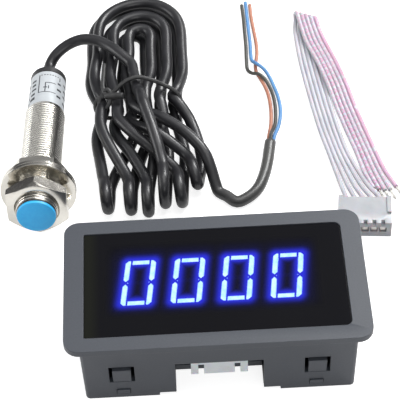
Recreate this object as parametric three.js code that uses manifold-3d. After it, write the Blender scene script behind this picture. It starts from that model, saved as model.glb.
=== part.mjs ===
// Digital tachometer: a panel meter with four digits, a round proximity sensor on its cable,
// and a loose wiring harness. Millimetres, Z up. The meter lies on its rear face, at the origin.
import * as THREE from "three";
import { mergeVertices } from "three/addons/utils/BufferGeometryUtils.js";
import Module from "manifold-3d";

const wasm = await Module();
wasm.setup();

// Driving dimensions, in millimetres. Angles are in degrees.
const overrun = 1; // a cutting shape runs this far past the faces that it opens
const fit = 0.1; // side clearance between moulded pieces that are pushed together
const turnedFit = 0.2; // clearance inside the sensor, the plug and along the cables
const seamWidth = 0.3; // two lengths of one cable keep this between their end faces

const shell = {
  depth: 24,
  bezelWidth: 79,
  bezelHeight: 43,
  bezelThickness: 2,
  bezelCorner: 4,
  bodyWidth: 71.6,
  bodyHeight: 39,
  bodyCorner: 1.2,
  draft: 0.4,
  wall: 1.8,
  frontWall: 1.5,
  postSide: 4.5,
};
const pane = {
  width: 68.5,
  height: 34.4,
  thickness: 1.2,
  recess: 0.3,
  ledge: 2,
  squareCorner: 0.5,
  roundCorner: 1.8,
};
const clip = {
  offset: 25.4,
  slotWidth: 6.6,
  width: 4.8,
  rootHeight: 7,
  slotTop: 13.6,
  tipGap: 0.7,
  rootGap: 0.1,
  thickness: 1.3,
  barbRise: 0.65,
  barbStart: 1,
  barbFlat: 0.9,
};
const latch = {
  offset: 25.3,
  width: 3.6,
  low: 1.5,
  high: 3.8,
  armThickness: 1.5,
  reach: 1.6,
};
const notch = { width: 23, top: 13.6, coverDepth: 5.9, stepWidth: 31.8, stepHeight: 1.1 };
const cover = { thickness: 2, pillarSide: 3, pillarInset: 2.3, sideGap: 0.15 };
const board = { thickness: 1.6, sideGap: 0.25, clipRelief: 1, front: 14.5 };
const display = {
  endWall: 0.45,
  height: 19,
  centreX: -0.5,
  centreY: 1.2,
  face: 1.9,
  wallBetween: 1.1,
  pocketHeight: 17.2,
};
const digit = {
  count: 4,
  pitch: 13,
  width: 8.2,
  height: 14.9,
  stroke: 1.5,
  gap: 0.35,
  slant: 7,
  cornerRadius: 0.9,
  pointDiameter: 1.5,
  pointOffset: 1.1,
  faceSetback: 0.1,
};
const header = {
  ways: 5,
  width: 14.9,
  depth: 5.75,
  height: 7,
  pitch: 2.5,
  wall: 0.8,
  base: 1.5,
  edgeInset: 2.3,
  slotWidth: 1.5,
  slotOffset: 4.75,
  slotDepth: 4,
  pinSide: 0.64,
  pinHoleGap: 0.1,
  pinSetback: 1.1,
  pinProud: 1,
};
const chip = {
  legsPerSide: 10,
  length: 12.8,
  width: 7.5,
  height: 2.3,
  standoff: 0.15,
  x: 12,
  y: 2,
  legPitch: 1.27,
  legWidth: 0.42,
  legReach: 1.4,
  legThickness: 0.3,
};
const supply = {
  width: 6.5,
  length: 6.1,
  height: 2.3,
  tabWidth: 5.3,
  tabLength: 1.2,
  tabThickness: 0.5,
  legWidth: 0.8,
  legLength: 2.7,
  legPitch: 4.6,
  x: -8,
  edgeInset: 11.5,
};
const can = {
  diameter: 8,
  height: 7.7,
  grooveDepth: 0.4,
  grooveHeight: 0.5,
  grooveAt: 1.4,
  x: -21,
  y: 3,
};

const sensor = {
  noseX: -48.41,
  noseY: 34.67,
  yaw: 1.89,
  length: 61.1,
  threadDiameter: 12,
  threadClearance: 0.3,
  tubeWall: 1.15,
  neckStep: 0.65,
  labelLength: 14.5,
  labelThickness: 0.1,
  capInset: 0.35,
  capProud: 0.8,
  capPlugDepth: 3,
  endCapLength: 2.3,
  endCapPlugDepth: 4,
  lampInnerWall: 0.75,
  lampOuterWall: 0.05,
  lampLength: 3,
  lampProud: 0.3,
  boardInset: 0.9,
  boardEndGap: 5.8,
  boardThickness: 1,
  hallSide: 4,
  hallThickness: 1.5,
  hallLength: 3,
  hallGap: 0.9,
};
const nut = {
  acrossFlats: 17,
  thickness: 4,
  boreClearance: 0.2,
  chamferAngle: 30,
  chamferShare: 0.96,
  frontAt: 3.3,
  rearAt: 12.2,
};
const washer = {
  diameter: 21.5,
  rim: 1.7,
  thickness: 1,
  teeth: 9,
  toothClearance: 0.5,
  toothRootShare: 0.5,
  toothTipShare: 0.62,
  frontAt: 10,
  rearAt: 11.15,
};

const cable = {
  diameter: 3.4,
  coreDiameter: 1.1,
  entryDepth: 2.6,
  leadSteps: 22,
  tailSteps: 12,
  coreSteps: 34,
};
const hank = {
  restHeight: 1.75, // the middle of a run that lies on the floor
  columnPitch: 4.1,
  layerRise: 4.1,
  tieY: 84,
  tieHold: 1.6, // runs this near the tie can't move
  tieLift: 1.25, // the strap lies under the runs
  leftColumn: -21.3,
  rightColumn: -17,
  legMiddle: 11,
  legTop: 21,
  legBulge: 0.8,
  archX: -19.5,
  archY: 112.4,
  archRadius: 3.8,
  archPitch: 2.1,
  layerShiftX: 0.6,
  layerShiftY: -1.2,
  fingerRoot: 10,
  foldLength: 4.4,
  foldSwell: 1.6,
  foldNose: 1.2,
  foldShoulder: 0.5,
  foldHeel: 1.15,
  spread: 1.5, // the runs push each other until this much lies between them
  nearby: 2, // pairs of points this much further apart are watched too
  sag: 0.003, // each round lets a free point sink this far
  straightStep: 20, // a straight run has a ring at most this far from the next
  turnStep: 33, // degrees that the cable turns between two rings
  probe: 0.5, // distance between the points on which the gap is measured
};
const hankCounts = { points: 360, rounds: 3000, pairRounds: 20, archSteps: 8, rings: 168 };
const settleShares = { push: 0.25, smooth: 0.1, apart: 3 };
const tie = {
  width: 2,
  thickness: 0.7,
  left: -32.2,
  right: -6.1,
  shoulder: 9.9,
  crownLeft: -22.4,
  crownRight: -16,
  crown: 14.2,
  knotSide: 3.4,
  knotLow: 4.5,
  knotHigh: 7.5,
};
const plug = {
  width: 14.9,
  height: 5.75,
  length: 9.8,
  rearX: 44.5,
  rearY: 41.4,
  yaw: -5,
  pitch: 2.5,
  cavitySide: 2,
  terminalSide: 1.5,
  terminalLength: 6.6,
  terminalSetback: 0.5,
  wireDepth: 1.6,
  scallopWidth: 1.1,
  scallopDepth: 1.2,
  scallopHeight: 1.5,
  railWidth: 1.2,
  railHeight: 0.6,
  railLength: 6,
};
const ribbon = {
  wireDiameter: 1.2,
  steps: 64,
  pitch: 1.4,
  restHeight: 0.68,
  foldX: 34.2,
  foldY: 121.65,
  foldSlopeShare: 0.47,
  foldRise: 1.5,
  foldNear: 1.5,
  foldFar: 6,
  foldStart: -0.5,
  foldLean: 0.4,
  foldDrift: 1.2,
  foldDip: 0.75,
  foldLift: 0.3,
  tinnedDiameter: 0.7,
  tinnedLength: 3.6,
};
const sides = { round: 32, small: 16, cable: 8, hank: 6, wire: 6, corner: 4 };

// Dimensions that follow from the ones above
const bezelBack = shell.depth - shell.bezelThickness;
const paneBack = shell.depth - pane.recess - pane.thickness;
const frontWallBack = paneBack - shell.frontWall;
const boardBack = board.front - board.thickness;
const headerBack = boardBack - header.height;
const barrelDiameter = sensor.threadDiameter - sensor.threadClearance;
const boreDiameter = barrelDiameter - 2 * sensor.tubeWall;
const neckDiameter = barrelDiameter - 2 * sensor.neckStep;
const labelDiameter = neckDiameter + turnedFit + 2 * sensor.labelThickness;
const labelEnd = sensor.length - sensor.endCapLength;
const threadEnd = labelEnd - sensor.labelLength;
const cableBore = cable.diameter + 2 * turnedFit;
const headerEdge = header.edgeInset - shell.bodyHeight / 2;
const supplyY = shell.bodyHeight / 2 - supply.edgeInset;
const pocketWidth = digit.pitch - display.wallBetween;
const displayWidth = (digit.count - 1) * digit.pitch + pocketWidth + 2 * display.endWall;

// How many steps an item stands from the middle of its row.
function stepsFromMiddle(index, count) {
  return index - (count - 1) / 2;
}

// The half size of the tapered body at a height above the rear face.
function bodyHalf(size, height) {
  return size / 2 - (shell.draft * (bezelBack - height)) / bezelBack;
}

function innerHalf(size, height) {
  return bodyHalf(size, height) - shell.wall;
}

// Solids: three.js makes each shape, and manifold-3d joins and cuts them.
function isInsideOut(positions, triangles) {
  const a = new THREE.Vector3();
  const b = new THREE.Vector3();
  const c = new THREE.Vector3();
  let sixVolumes = 0;
  for (let i = 0; i < triangles.length; i += 3) {
    a.fromArray(positions, triangles[i] * 3);
    b.fromArray(positions, triangles[i + 1] * 3);
    c.fromArray(positions, triangles[i + 2] * 3);
    sixVolumes += a.dot(b.cross(c));
  }
  return sixVolumes < 0;
}

function toSolid(geometry) {
  const bare = geometry.clone();
  bare.deleteAttribute("normal");
  bare.deleteAttribute("uv");
  const merged = mergeVertices(bare);
  const positions = merged.attributes.position.array;
  const found = merged.index.array;
  const kept = [];
  for (let i = 0; i < found.length; i += 3) {
    const [a, b, c] = [found[i], found[i + 1], found[i + 2]];
    if (a !== b && b !== c && c !== a) kept.push(a, b, c);
  }
  if (isInsideOut(positions, kept)) kept.reverse();
  const mesh = new wasm.Mesh({
    numProp: 3,
    vertProperties: positions,
    triVerts: new Uint32Array(kept),
  });
  return new wasm.Manifold(mesh);
}

function toGeometry(solid) {
  const mesh = solid.getMesh();
  const geometry = new THREE.BufferGeometry();
  geometry.setAttribute("position", new THREE.BufferAttribute(mesh.vertProperties, 3));
  geometry.setIndex(new THREE.BufferAttribute(mesh.triVerts, 1));
  geometry.computeVertexNormals();
  return geometry;
}

function join(...shapes) {
  return toGeometry(wasm.Manifold.union(shapes.map(toSolid)));
}

function cut(body, ...tools) {
  return toGeometry(toSolid(body).subtract(wasm.Manifold.union(tools.map(toSolid))));
}

function common(one, other) {
  return toGeometry(toSolid(one).intersect(toSolid(other)));
}

// A box between two limits on each axis.
function block([left, right], [near, far], [low, high]) {
  const shape = new THREE.BoxGeometry(right - left, far - near, high - low);
  return shape.translate((left + right) / 2, (near + far) / 2, (low + high) / 2);
}

// Limits of a stretch of a given width about a middle.
function about(middle, width) {
  return [middle - width / 2, middle + width / 2];
}

// An outline of [x, y] points, or a THREE.Shape, made into a plate from one height to another.
function plate(outline, low, high) {
  const shape = Array.isArray(outline)
    ? new THREE.Shape(outline.map(([x, y]) => new THREE.Vector2(x, y)))
    : outline;
  const options = { depth: high - low, bevelEnabled: false, curveSegments: sides.corner };
  return new THREE.ExtrudeGeometry(shape, options).translate(0, 0, low);
}

// A profile of [y, z] points drawn along x.
function barAlongX(profile, [left, right]) {
  const axes = [new THREE.Vector3(0, 1, 0), new THREE.Vector3(0, 0, 1), new THREE.Vector3(1, 0, 0)];
  return plate(profile, left, right).applyMatrix4(new THREE.Matrix4().makeBasis(...axes));
}

// A profile of [x, z] points drawn along y.
function barAlongY(profile, [near, far]) {
  const bar = plate(profile, -far, -near);
  return bar.rotateX(Math.PI / 2);
}

// A profile of [radius, distance] points turned about the y axis.
function turned(profile, count) {
  return new THREE.LatheGeometry(
    profile.map(([radius, distance]) => new THREE.Vector2(radius, distance)),
    count,
  );
}

function rod(diameter, start, end, count) {
  const radius = diameter / 2;
  return turned([[0, start], [radius, start], [radius, end], [0, end]], count);
}

function roundedRectangle(width, height, radii) {
  const [x, y] = [width / 2, height / 2];
  const [lowerLeft, lowerRight, upperRight, upperLeft] = radii;
  const shape = new THREE.Shape();
  shape.moveTo(lowerLeft - x, -y);
  shape.lineTo(x - lowerRight, -y);
  shape.absarc(x - lowerRight, lowerRight - y, lowerRight, -Math.PI / 2, 0);
  shape.lineTo(x, y - upperRight);
  shape.absarc(x - upperRight, y - upperRight, upperRight, 0, Math.PI / 2);
  shape.lineTo(upperLeft - x, y);
  shape.absarc(upperLeft - x, y - upperLeft, upperLeft, Math.PI / 2, Math.PI);
  shape.lineTo(-x, lowerLeft - y);
  shape.absarc(lowerLeft - x, lowerLeft - y, lowerLeft, Math.PI, 1.5 * Math.PI);
  return shape;
}

function roundRoute(points) {
  const vectors = points.map((point) => new THREE.Vector3(...point));
  return new THREE.CatmullRomCurve3(vectors, false, "centripetal");
}

// A round bar along a smooth route through [x, y, z] points, with flat ends.
function cord(points, diameter, count, steps) {
  const section = new THREE.Shape();
  for (let i = 0; i < count; i += 1) {
    const angle = (2 * Math.PI * i) / count;
    const [x, y] = [(Math.cos(angle) * diameter) / 2, (Math.sin(angle) * diameter) / 2];
    if (i === 0) section.moveTo(x, y);
    else section.lineTo(x, y);
  }
  section.closePath();
  return new THREE.ExtrudeGeometry(section, { steps, extrudePath: roundRoute(points) });
}

// A round tube through the middles of its rings, with flat ends.
function tube(middles, diameter, count) {
  const last = middles.length - 1;
  const positions = [];
  const triangles = [];
  const up = new THREE.Vector3(0, 0, 1);
  middles.forEach((middle, ring) => {
    const ahead = middles[Math.min(ring + 1, last)].clone().sub(middles[Math.max(ring - 1, 0)]);
    ahead.normalize();
    up.addScaledVector(ahead, -up.dot(ahead)).normalize();
    const across = new THREE.Vector3().crossVectors(ahead, up);
    for (let side = 0; side < count; side += 1) {
      const angle = (2 * Math.PI * side) / count;
      const corner = middle.clone().addScaledVector(up, (Math.cos(angle) * diameter) / 2);
      positions.push(...corner.addScaledVector(across, (Math.sin(angle) * diameter) / 2).toArray());
    }
  });
  for (let side = 0; side < count; side += 1) {
    const next = (side + 1) % count;
    for (let ring = 0; ring < last; ring += 1) {
      const [near, far] = [ring * count, (ring + 1) * count];
      triangles.push(near + side, near + next, far + side);
      triangles.push(near + next, far + next, far + side);
    }
    if (side > 0 && next > 0) {
      triangles.push(0, next, side);
      triangles.push(last * count, last * count + side, last * count + next);
    }
  }
  const shape = new THREE.BufferGeometry();
  shape.setAttribute("position", new THREE.Float32BufferAttribute(positions, 3));
  return shape.setIndex(triangles);
}

// The point that lies a distance past the end of a route, straight on.
function past(end, before, distance) {
  const tip = new THREE.Vector3(...end);
  const onward = tip.clone().sub(new THREE.Vector3(...before)).normalize();
  return tip.addScaledVector(onward, distance).toArray();
}

function material(color, roughness, metalness) {
  return new THREE.MeshStandardMaterial({ color, roughness, metalness });
}

const materials = {
  casePlastic: () => material(0x5f646b, 0.6, 0),
  smokedPane: () => material(0x08090c, 0.15, 0),
  displayPlastic: () => material(0x1b1c20, 0.7, 0),
  lightGuide: () => material(0x9fd8ff, 0.3, 0),
  circuitBoard: () => material(0x1f5a34, 0.5, 0),
  whitePlastic: () => material(0xe6e2d8, 0.5, 0),
  tinnedMetal: () => material(0xc9c6bd, 0.35, 1),
  chipPlastic: () => material(0x1c1d1f, 0.6, 0),
  aluminium: () => material(0xb9bcc0, 0.4, 1),
  nickel: () => material(0xb5b0a6, 0.3, 1),
  bluePlastic: () => material(0x2f93dc, 0.45, 0),
  silverLabel: () => material(0xc4cbd4, 0.4, 0.3),
  blackPlastic: () => material(0x17181a, 0.5, 0),
  redLamp: () => material(0xb3261e, 0.3, 0),
  blackCable: () => material(0x15161a, 0.4, 0),
  brownWire: () => material(0xa4684a, 0.5, 0),
  blueWire: () => material(0x4a86c6, 0.5, 0),
  ribbonWire: () => material(0xd9d3de, 0.5, 0),
};

const tachometer = new THREE.Group();
tachometer.name = "digital_tachometer";

function add(parent, name, geometry, makeMaterial) {
  const mesh = new THREE.Mesh(geometry, makeMaterial());
  mesh.name = name;
  parent.add(mesh);
  return mesh;
}

// The case: one moulding with the bezel, the tapered body, an open rear and a stepped window.
function taperedBody(inset, low, high) {
  const corner = shell.bodyCorner;
  const width = shell.bodyWidth - 2 * inset;
  const height = shell.bodyHeight - 2 * inset;
  const body = plate(roundedRectangle(width, height, [corner, corner, corner, corner]), low, high);
  const place = body.attributes.position;
  for (let i = 0; i < place.count; i += 1) {
    const narrowed = (shell.draft * (bezelBack - place.getZ(i))) / bezelBack;
    place.setX(i, place.getX(i) - Math.sign(place.getX(i)) * narrowed);
    place.setY(i, place.getY(i) - Math.sign(place.getY(i)) * narrowed);
  }
  return body;
}

function paneOutline(gap) {
  const [square, round] = [pane.squareCorner, pane.roundCorner];
  return roundedRectangle(pane.width - 2 * gap, pane.height - 2 * gap, [square, round, round, square]);
}

function cornerPosts() {
  const x = innerHalf(shell.bodyWidth, board.front);
  const y = innerHalf(shell.bodyHeight, board.front);
  const posts = [];
  for (const sideX of [-1, 1]) {
    for (const sideY of [-1, 1]) {
      const middleX = sideX * (x - shell.postSide / 2 + shell.wall / 2);
      const middleY = sideY * (y - shell.postSide / 2 + shell.wall / 2);
      const side = shell.postSide;
      const height = [board.front, frontWallBack + shell.frontWall / 2];
      posts.push(block(about(middleX, side), about(middleY, side), height));
    }
  }
  return posts;
}

function caseShell() {
  const bezelCorners = Array(4).fill(shell.bezelCorner);
  const bezel = plate(
    roundedRectangle(shell.bezelWidth, shell.bezelHeight, bezelCorners),
    bezelBack,
    shell.depth,
  );
  const sightWidth = pane.width - 2 * pane.ledge;
  const sightHeight = pane.height - 2 * pane.ledge;
  const solid = join(bezel, taperedBody(0, 0, bezelBack + shell.bezelThickness / 2));
  const hollow = cut(
    solid,
    taperedBody(shell.wall, -overrun, frontWallBack),
    plate(paneOutline(0), paneBack, shell.depth + overrun),
    block(about(0, sightWidth), about(0, sightHeight), [frontWallBack - overrun, paneBack + overrun]),
  );
  const openings = [];
  const wallY = shell.bodyHeight / 2;
  for (const sideY of [-1, 1]) {
    const acrossWall = about(sideY * (wallY - shell.wall / 2), shell.wall + 2 * overrun);
    for (const sideX of [-1, 1]) {
      const slot = about(sideX * clip.offset, clip.slotWidth);
      openings.push(block(slot, acrossWall, [clip.rootHeight, clip.slotTop]));
      const window = about(sideX * latch.offset, latch.width);
      openings.push(block(window, acrossWall, [latch.low, latch.high]));
    }
  }
  const lowerWall = about(shell.wall / 2 - wallY, shell.wall + 2 * overrun);
  openings.push(block(about(0, notch.width), lowerWall, [-overrun, notch.top]));
  openings.push(block(about(0, notch.stepWidth), lowerWall, [-overrun, notch.stepHeight]));
  return cut(join(hollow, ...cornerPosts()), ...openings);
}
add(tachometer, "case_shell", caseShell(), materials.casePlastic);

// The panel clips: four sprung tongues that stand in slots of the case's long walls.
function panelClip(sideY) {
  const outer = (height) => bodyHalf(shell.bodyHeight, height);
  const root = clip.rootHeight + clip.rootGap;
  const tip = clip.slotTop - clip.tipGap;
  const start = clip.rootHeight + clip.barbStart;
  const crest = outer(tip) + clip.barbRise;
  const profile = [
    [outer(root), root],
    [outer(start), start],
    [crest, tip - clip.barbFlat],
    [crest, tip],
    [outer(tip) - clip.thickness, tip],
    [outer(root) - clip.thickness, root],
  ];
  return profile.map(([y, z]) => [sideY * y, z]);
}

function addPanelClips() {
  for (const [sideY, level] of [[-1, "lower"], [1, "upper"]]) {
    for (const [sideX, hand] of [[-1, "left"], [1, "right"]]) {
      const tongue = barAlongX(panelClip(sideY), about(sideX * clip.offset, clip.width));
      add(tachometer, `panel_clip_${level}_${hand}`, join(tongue), materials.casePlastic);
    }
  }
}
addPanelClips();

// The rear cover: a plate let in flush, with pillars under the board and hooks in the case.
function rearCover() {
  const x = innerHalf(shell.bodyWidth, 0) - cover.sideGap;
  const y = innerHalf(shell.bodyHeight, 0) - cover.sideGap;
  const parts = [];
  for (const sideX of [-1, 1]) {
    for (const sideY of [-1, 1]) {
      const pillarX = sideX * (x - cover.pillarInset);
      const pillarY = sideY * (y - cover.pillarInset);
      const pillar = [about(pillarX, cover.pillarSide), about(pillarY, cover.pillarSide)];
      parts.push(block(...pillar, [cover.thickness / 2, boardBack]));
      const hookWidth = latch.width - 2 * fit;
      const arm = about(sideY * (y - latch.armThickness / 2), latch.armThickness);
      const nose = about(sideY * (y + latch.reach / 2), latch.reach + latch.armThickness);
      const across = about(sideX * latch.offset, hookWidth);
      const top = latch.high - fit;
      parts.push(block(across, arm, [cover.thickness / 2, top]));
      parts.push(block(across, nose, [cover.thickness + fit, top]));
    }
  }
  const corners = Array(4).fill(shell.bodyCorner);
  const base = plate(roundedRectangle(2 * x, 2 * y, corners), 0, cover.thickness);
  const opening = block(
    about(0, notch.width),
    [-y - overrun, -y + notch.coverDepth],
    [-overrun, cover.thickness + overrun],
  );
  return cut(join(base, ...parts), opening);
}
add(tachometer, "rear_cover", rearCover(), materials.casePlastic);

// The window: a smoked pane on the ledge of the bezel.
const paneShape = join(plate(paneOutline(fit), paneBack, paneBack + pane.thickness));
add(tachometer, "window_pane", paneShape, materials.smokedPane);

// The display: a dark housing with a light guide for each digit.
function slanted(outline) {
  const lean = Math.tan(THREE.MathUtils.degToRad(digit.slant));
  return outline.map(([x, y]) => [x + y * lean, y]);
}

function mirrored(outline, signX, signY) {
  return outline.map(([x, y]) => [x * signX, y * signY]);
}

// The seven segments and the point of one digit, about its middle, narrowed by a gap all round.
function segmentOutlines(gap) {
  const [x, y] = [digit.width / 2, digit.height / 2];
  const stroke = digit.stroke;
  const innerX = x - stroke - digit.gap;
  const bar = [
    [-innerX + gap, y - stroke + gap],
    [innerX - gap, y - stroke + gap],
    [innerX - gap, y - gap],
    [-innerX + gap, y - gap],
  ];
  const half = stroke / 2;
  const tip = x - half - digit.gap;
  const middle = [
    [-tip + gap, 0],
    [-innerX + gap, gap - half],
    [innerX - gap, gap - half],
    [tip - gap, 0],
    [innerX - gap, half - gap],
    [-innerX + gap, half - gap],
  ];
  const round = digit.cornerRadius;
  const foot = half + digit.gap;
  const upright = [
    [-x + gap, foot + gap],
    [-x + half, digit.gap + gap],
    [-x + stroke - gap, foot + gap],
    [-x + stroke - gap, y - gap],
    [-x + round, y - gap],
    [-x + gap, y - round],
  ];
  const pointX = x + digit.pointOffset;
  const pointRadius = digit.pointDiameter / 2 - gap;
  const point = Array.from({ length: sides.small }, (_, i) => {
    const angle = (2 * Math.PI * i) / sides.small;
    return [
      pointX + pointRadius * Math.cos(angle),
      digit.pointDiameter / 2 - y + pointRadius * Math.sin(angle),
    ];
  });
  return [
    bar,
    mirrored(bar, 1, -1),
    middle,
    upright,
    mirrored(upright, -1, 1),
    mirrored(upright, 1, -1),
    mirrored(upright, -1, -1),
    point,
  ].map(slanted);
}

function digitMiddle(index) {
  return display.centreX + stepsFromMiddle(index, digit.count) * digit.pitch;
}

function segmentPlates(index, gap, low, high) {
  const shapes = segmentOutlines(gap);
  return shapes.map((outline) => plate(outline, low, high).translate(digitMiddle(index), display.centreY, 0));
}

function displayHousing() {
  const outer = block(
    about(display.centreX, displayWidth),
    about(display.centreY, display.height),
    [board.front, paneBack],
  );
  const pocketTop = paneBack - display.face;
  const openings = [];
  for (let i = 0; i < digit.count; i += 1) {
    const pocket = [
      about(digitMiddle(i), pocketWidth),
      about(display.centreY, display.pocketHeight),
    ];
    openings.push(block(...pocket, [board.front - overrun, pocketTop]));
    openings.push(...segmentPlates(i, 0, pocketTop - overrun, paneBack + overrun));
  }
  return cut(outer, ...openings);
}
add(tachometer, "display_housing", displayHousing(), materials.displayPlastic);

function lightGuide(index) {
  const slab = block(
    about(digitMiddle(index), pocketWidth - 2 * fit),
    about(display.centreY, display.pocketHeight - 2 * fit),
    [board.front, paneBack - display.face - fit],
  );
  const low = paneBack - display.face - overrun;
  return join(slab, ...segmentPlates(index, fit, low, paneBack - digit.faceSetback));
}
for (let i = 0; i < digit.count; i += 1) {
  add(tachometer, `digit_light_guide_${i + 1}`, lightGuide(i), materials.lightGuide);
}

// The circuit board, notched beside the clips and drilled for the header's pins.
function pinX(index) {
  return stepsFromMiddle(index, header.ways) * header.pitch;
}

const pinY = headerEdge + header.depth / 2;

function mainBoard() {
  const x = innerHalf(shell.bodyWidth, boardBack) - board.sideGap;
  const y = innerHalf(shell.bodyHeight, boardBack) - board.sideGap;
  const corners = Array(4).fill(shell.bodyCorner);
  const through = [boardBack - overrun, board.front + overrun];
  const openings = [];
  for (const sideX of [-1, 1]) {
    for (const sideY of [-1, 1]) {
      const beside = about(sideX * clip.offset, clip.slotWidth);
      openings.push(block(beside, about(sideY * y, 2 * board.clipRelief), through));
    }
  }
  const hole = header.pinSide + 2 * header.pinHoleGap;
  for (let i = 0; i < header.ways; i += 1) {
    openings.push(block(about(pinX(i), hole), about(pinY, hole), through));
  }
  return cut(plate(roundedRectangle(2 * x, 2 * y, corners), boardBack, board.front), ...openings);
}
add(tachometer, "main_board", mainBoard(), materials.circuitBoard);

// The wire header: an open shroud that faces the rear, with five pins through its base.
function wireHeader() {
  const across = about(0, header.width);
  const along = [headerEdge, headerEdge + header.depth];
  const shroud = block(across, along, [headerBack, boardBack]);
  const inside = block(
    about(0, header.width - 2 * header.wall),
    [headerEdge + header.wall, headerEdge + header.depth - header.wall],
    [headerBack - overrun, boardBack - header.base],
  );
  const openings = [inside];
  for (const side of [-1, 1]) {
    const slot = about(side * header.slotOffset, header.slotWidth);
    const wall = [headerEdge - overrun, headerEdge + header.wall + overrun];
    openings.push(block(slot, wall, [headerBack - overrun, headerBack + header.slotDepth]));
  }
  const hole = header.pinSide + 2 * header.pinHoleGap;
  for (let i = 0; i < header.ways; i += 1) {
    const through = [boardBack - header.base - overrun, boardBack + overrun];
    openings.push(block(about(pinX(i), hole), about(pinY, hole), through));
  }
  return cut(shroud, ...openings);
}
add(tachometer, "wire_header", wireHeader(), materials.whitePlastic);

for (let i = 0; i < header.ways; i += 1) {
  const height = [headerBack + header.pinSetback, board.front + header.pinProud];
  const pin = block(about(pinX(i), header.pinSide), about(pinY, header.pinSide), height);
  add(tachometer, `header_pin_${i + 1}`, pin, materials.tinnedMetal);
}

// The parts on the back of the board: the controller, the supply regulator and a capacitor.
function controller() {
  const top = boardBack - chip.standoff;
  const body = block(about(chip.x, chip.length), about(chip.y, chip.width), [top - chip.height, top]);
  const legs = [];
  const middle = top - chip.height / 2;
  const inner = chip.width / 2 - chip.legThickness;
  const reach = chip.width / 2 + chip.legReach;
  const knee = reach - chip.legReach / 2;
  const kneeStart = knee - chip.legThickness;
  for (let i = 0; i < chip.legsPerSide; i += 1) {
    const legX = chip.x + stepsFromMiddle(i, chip.legsPerSide) * chip.legPitch;
    const across = about(legX, chip.legWidth);
    for (const side of [-1, 1]) {
      const limits = (start, end) => {
        return side > 0 ? [chip.y + start, chip.y + end] : [chip.y - end, chip.y - start];
      };
      const foot = [boardBack - chip.legThickness, boardBack];
      legs.push(block(across, limits(inner, knee), about(middle, chip.legThickness)));
      legs.push(block(across, limits(kneeStart, knee), [middle, boardBack]));
      legs.push(block(across, limits(kneeStart, reach), foot));
    }
  }
  return join(body, ...legs);
}
add(tachometer, "microcontroller", controller(), materials.chipPlastic);

function regulator() {
  const low = boardBack - supply.height;
  const body = block(about(supply.x, supply.width), about(supplyY, supply.length), [low, boardBack]);
  const far = supplyY + supply.length / 2;
  const tab = block(
    about(supply.x, supply.tabWidth),
    [far - supply.tabThickness, far + supply.tabLength],
    [boardBack - supply.tabThickness, boardBack],
  );
  const near = supplyY - supply.length / 2;
  const legs = [-1, 1].map((side) =>
    block(
      about(supply.x + (side * supply.legPitch) / 2, supply.legWidth),
      [near - supply.legLength, near + supply.tabThickness],
      [boardBack - supply.tabThickness, boardBack],
    ),
  );
  return join(body, tab, ...legs);
}
add(tachometer, "voltage_regulator", regulator(), materials.chipPlastic);

function capacitor() {
  const radius = can.diameter / 2;
  const waist = radius - can.grooveDepth;
  const profile = [
    [0, 0],
    [radius, 0],
    [radius, can.grooveAt],
    [waist, can.grooveAt + can.grooveHeight / 2],
    [radius, can.grooveAt + can.grooveHeight],
    [radius, can.height],
    [0, can.height],
  ];
  const upright = turned(profile, sides.small).rotateX(-Math.PI / 2);
  return join(upright.translate(can.x, can.y, boardBack));
}
add(tachometer, "smoothing_capacitor", capacitor(), materials.aluminium);

// The sensor: its own group, with y along the axis from the nose to the cable. It rests on the
// rim of its rear washer and on the edge of its end cap, so its tilt follows from their sizes.
const washerRadius = washer.diameter / 2;
const endRadius = labelDiameter / 2;
const restSpan = sensor.length - washer.rearAt - washer.thickness;
const tilt = Math.atan((washerRadius - endRadius) / restSpan);
const yaw = THREE.MathUtils.degToRad(sensor.yaw);
const noseZ =
  washerRadius * Math.cos(tilt) + (washer.rearAt + washer.thickness) * Math.sin(tilt);

const sensorGroup = new THREE.Group();
sensorGroup.name = "proximity_sensor";
sensorGroup.rotation.set(-tilt, 0, -yaw, "ZYX");
sensorGroup.position.set(sensor.noseX, sensor.noseY, noseZ);
sensorGroup.updateMatrixWorld(true);
tachometer.add(sensorGroup);

function sensorBarrel() {
  const bore = boreDiameter / 2;
  const [thread, neck] = [barrelDiameter / 2, neckDiameter / 2];
  const [front, rear] = [sensor.capProud + turnedFit, labelEnd];
  const profile = [
    [bore, front],
    [thread, front],
    [thread, threadEnd],
    [neck, threadEnd],
    [neck, rear],
    [bore, rear],
    [bore, front],
  ];
  return join(turned(profile, sides.round));
}
add(sensorGroup, "sensor_barrel", sensorBarrel(), materials.nickel);

function sensingCap() {
  const [rim, stem] = [barrelDiameter / 2 - sensor.capInset, boreDiameter / 2 - turnedFit];
  const profile = [
    [0, 0],
    [rim, 0],
    [rim, sensor.capProud],
    [stem, sensor.capProud],
    [stem, sensor.capPlugDepth],
    [0, sensor.capPlugDepth],
  ];
  return join(turned(profile, sides.round));
}
add(sensorGroup, "sensing_cap", sensingCap(), materials.bluePlastic);

function lockNut(start, turn) {
  const flat = nut.acrossFlats / 2;
  const corner = flat / Math.cos(Math.PI / 6);
  const end = start + nut.thickness;
  const hexagon = new THREE.CylinderGeometry(corner, corner, nut.thickness, 6);
  hexagon.rotateY(turn).translate(0, (start + end) / 2, 0);
  const face = flat * nut.chamferShare;
  const fall = (corner - face) * Math.tan(THREE.MathUtils.degToRad(nut.chamferAngle));
  const coned = turned(
    [[0, start], [face, start], [corner, start + fall], [corner, end - fall], [face, end], [0, end]],
    sides.round,
  );
  const bore = rod(barrelDiameter + 2 * nut.boreClearance, start - overrun, end + overrun, sides.round);
  return cut(common(hexagon, coned), bore);
}
const flatUp = Math.PI / 6;
add(sensorGroup, "front_lock_nut", lockNut(nut.frontAt, 0), materials.nickel);
add(sensorGroup, "rear_lock_nut", lockNut(nut.rearAt + turnedFit, flatUp), materials.nickel);

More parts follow.
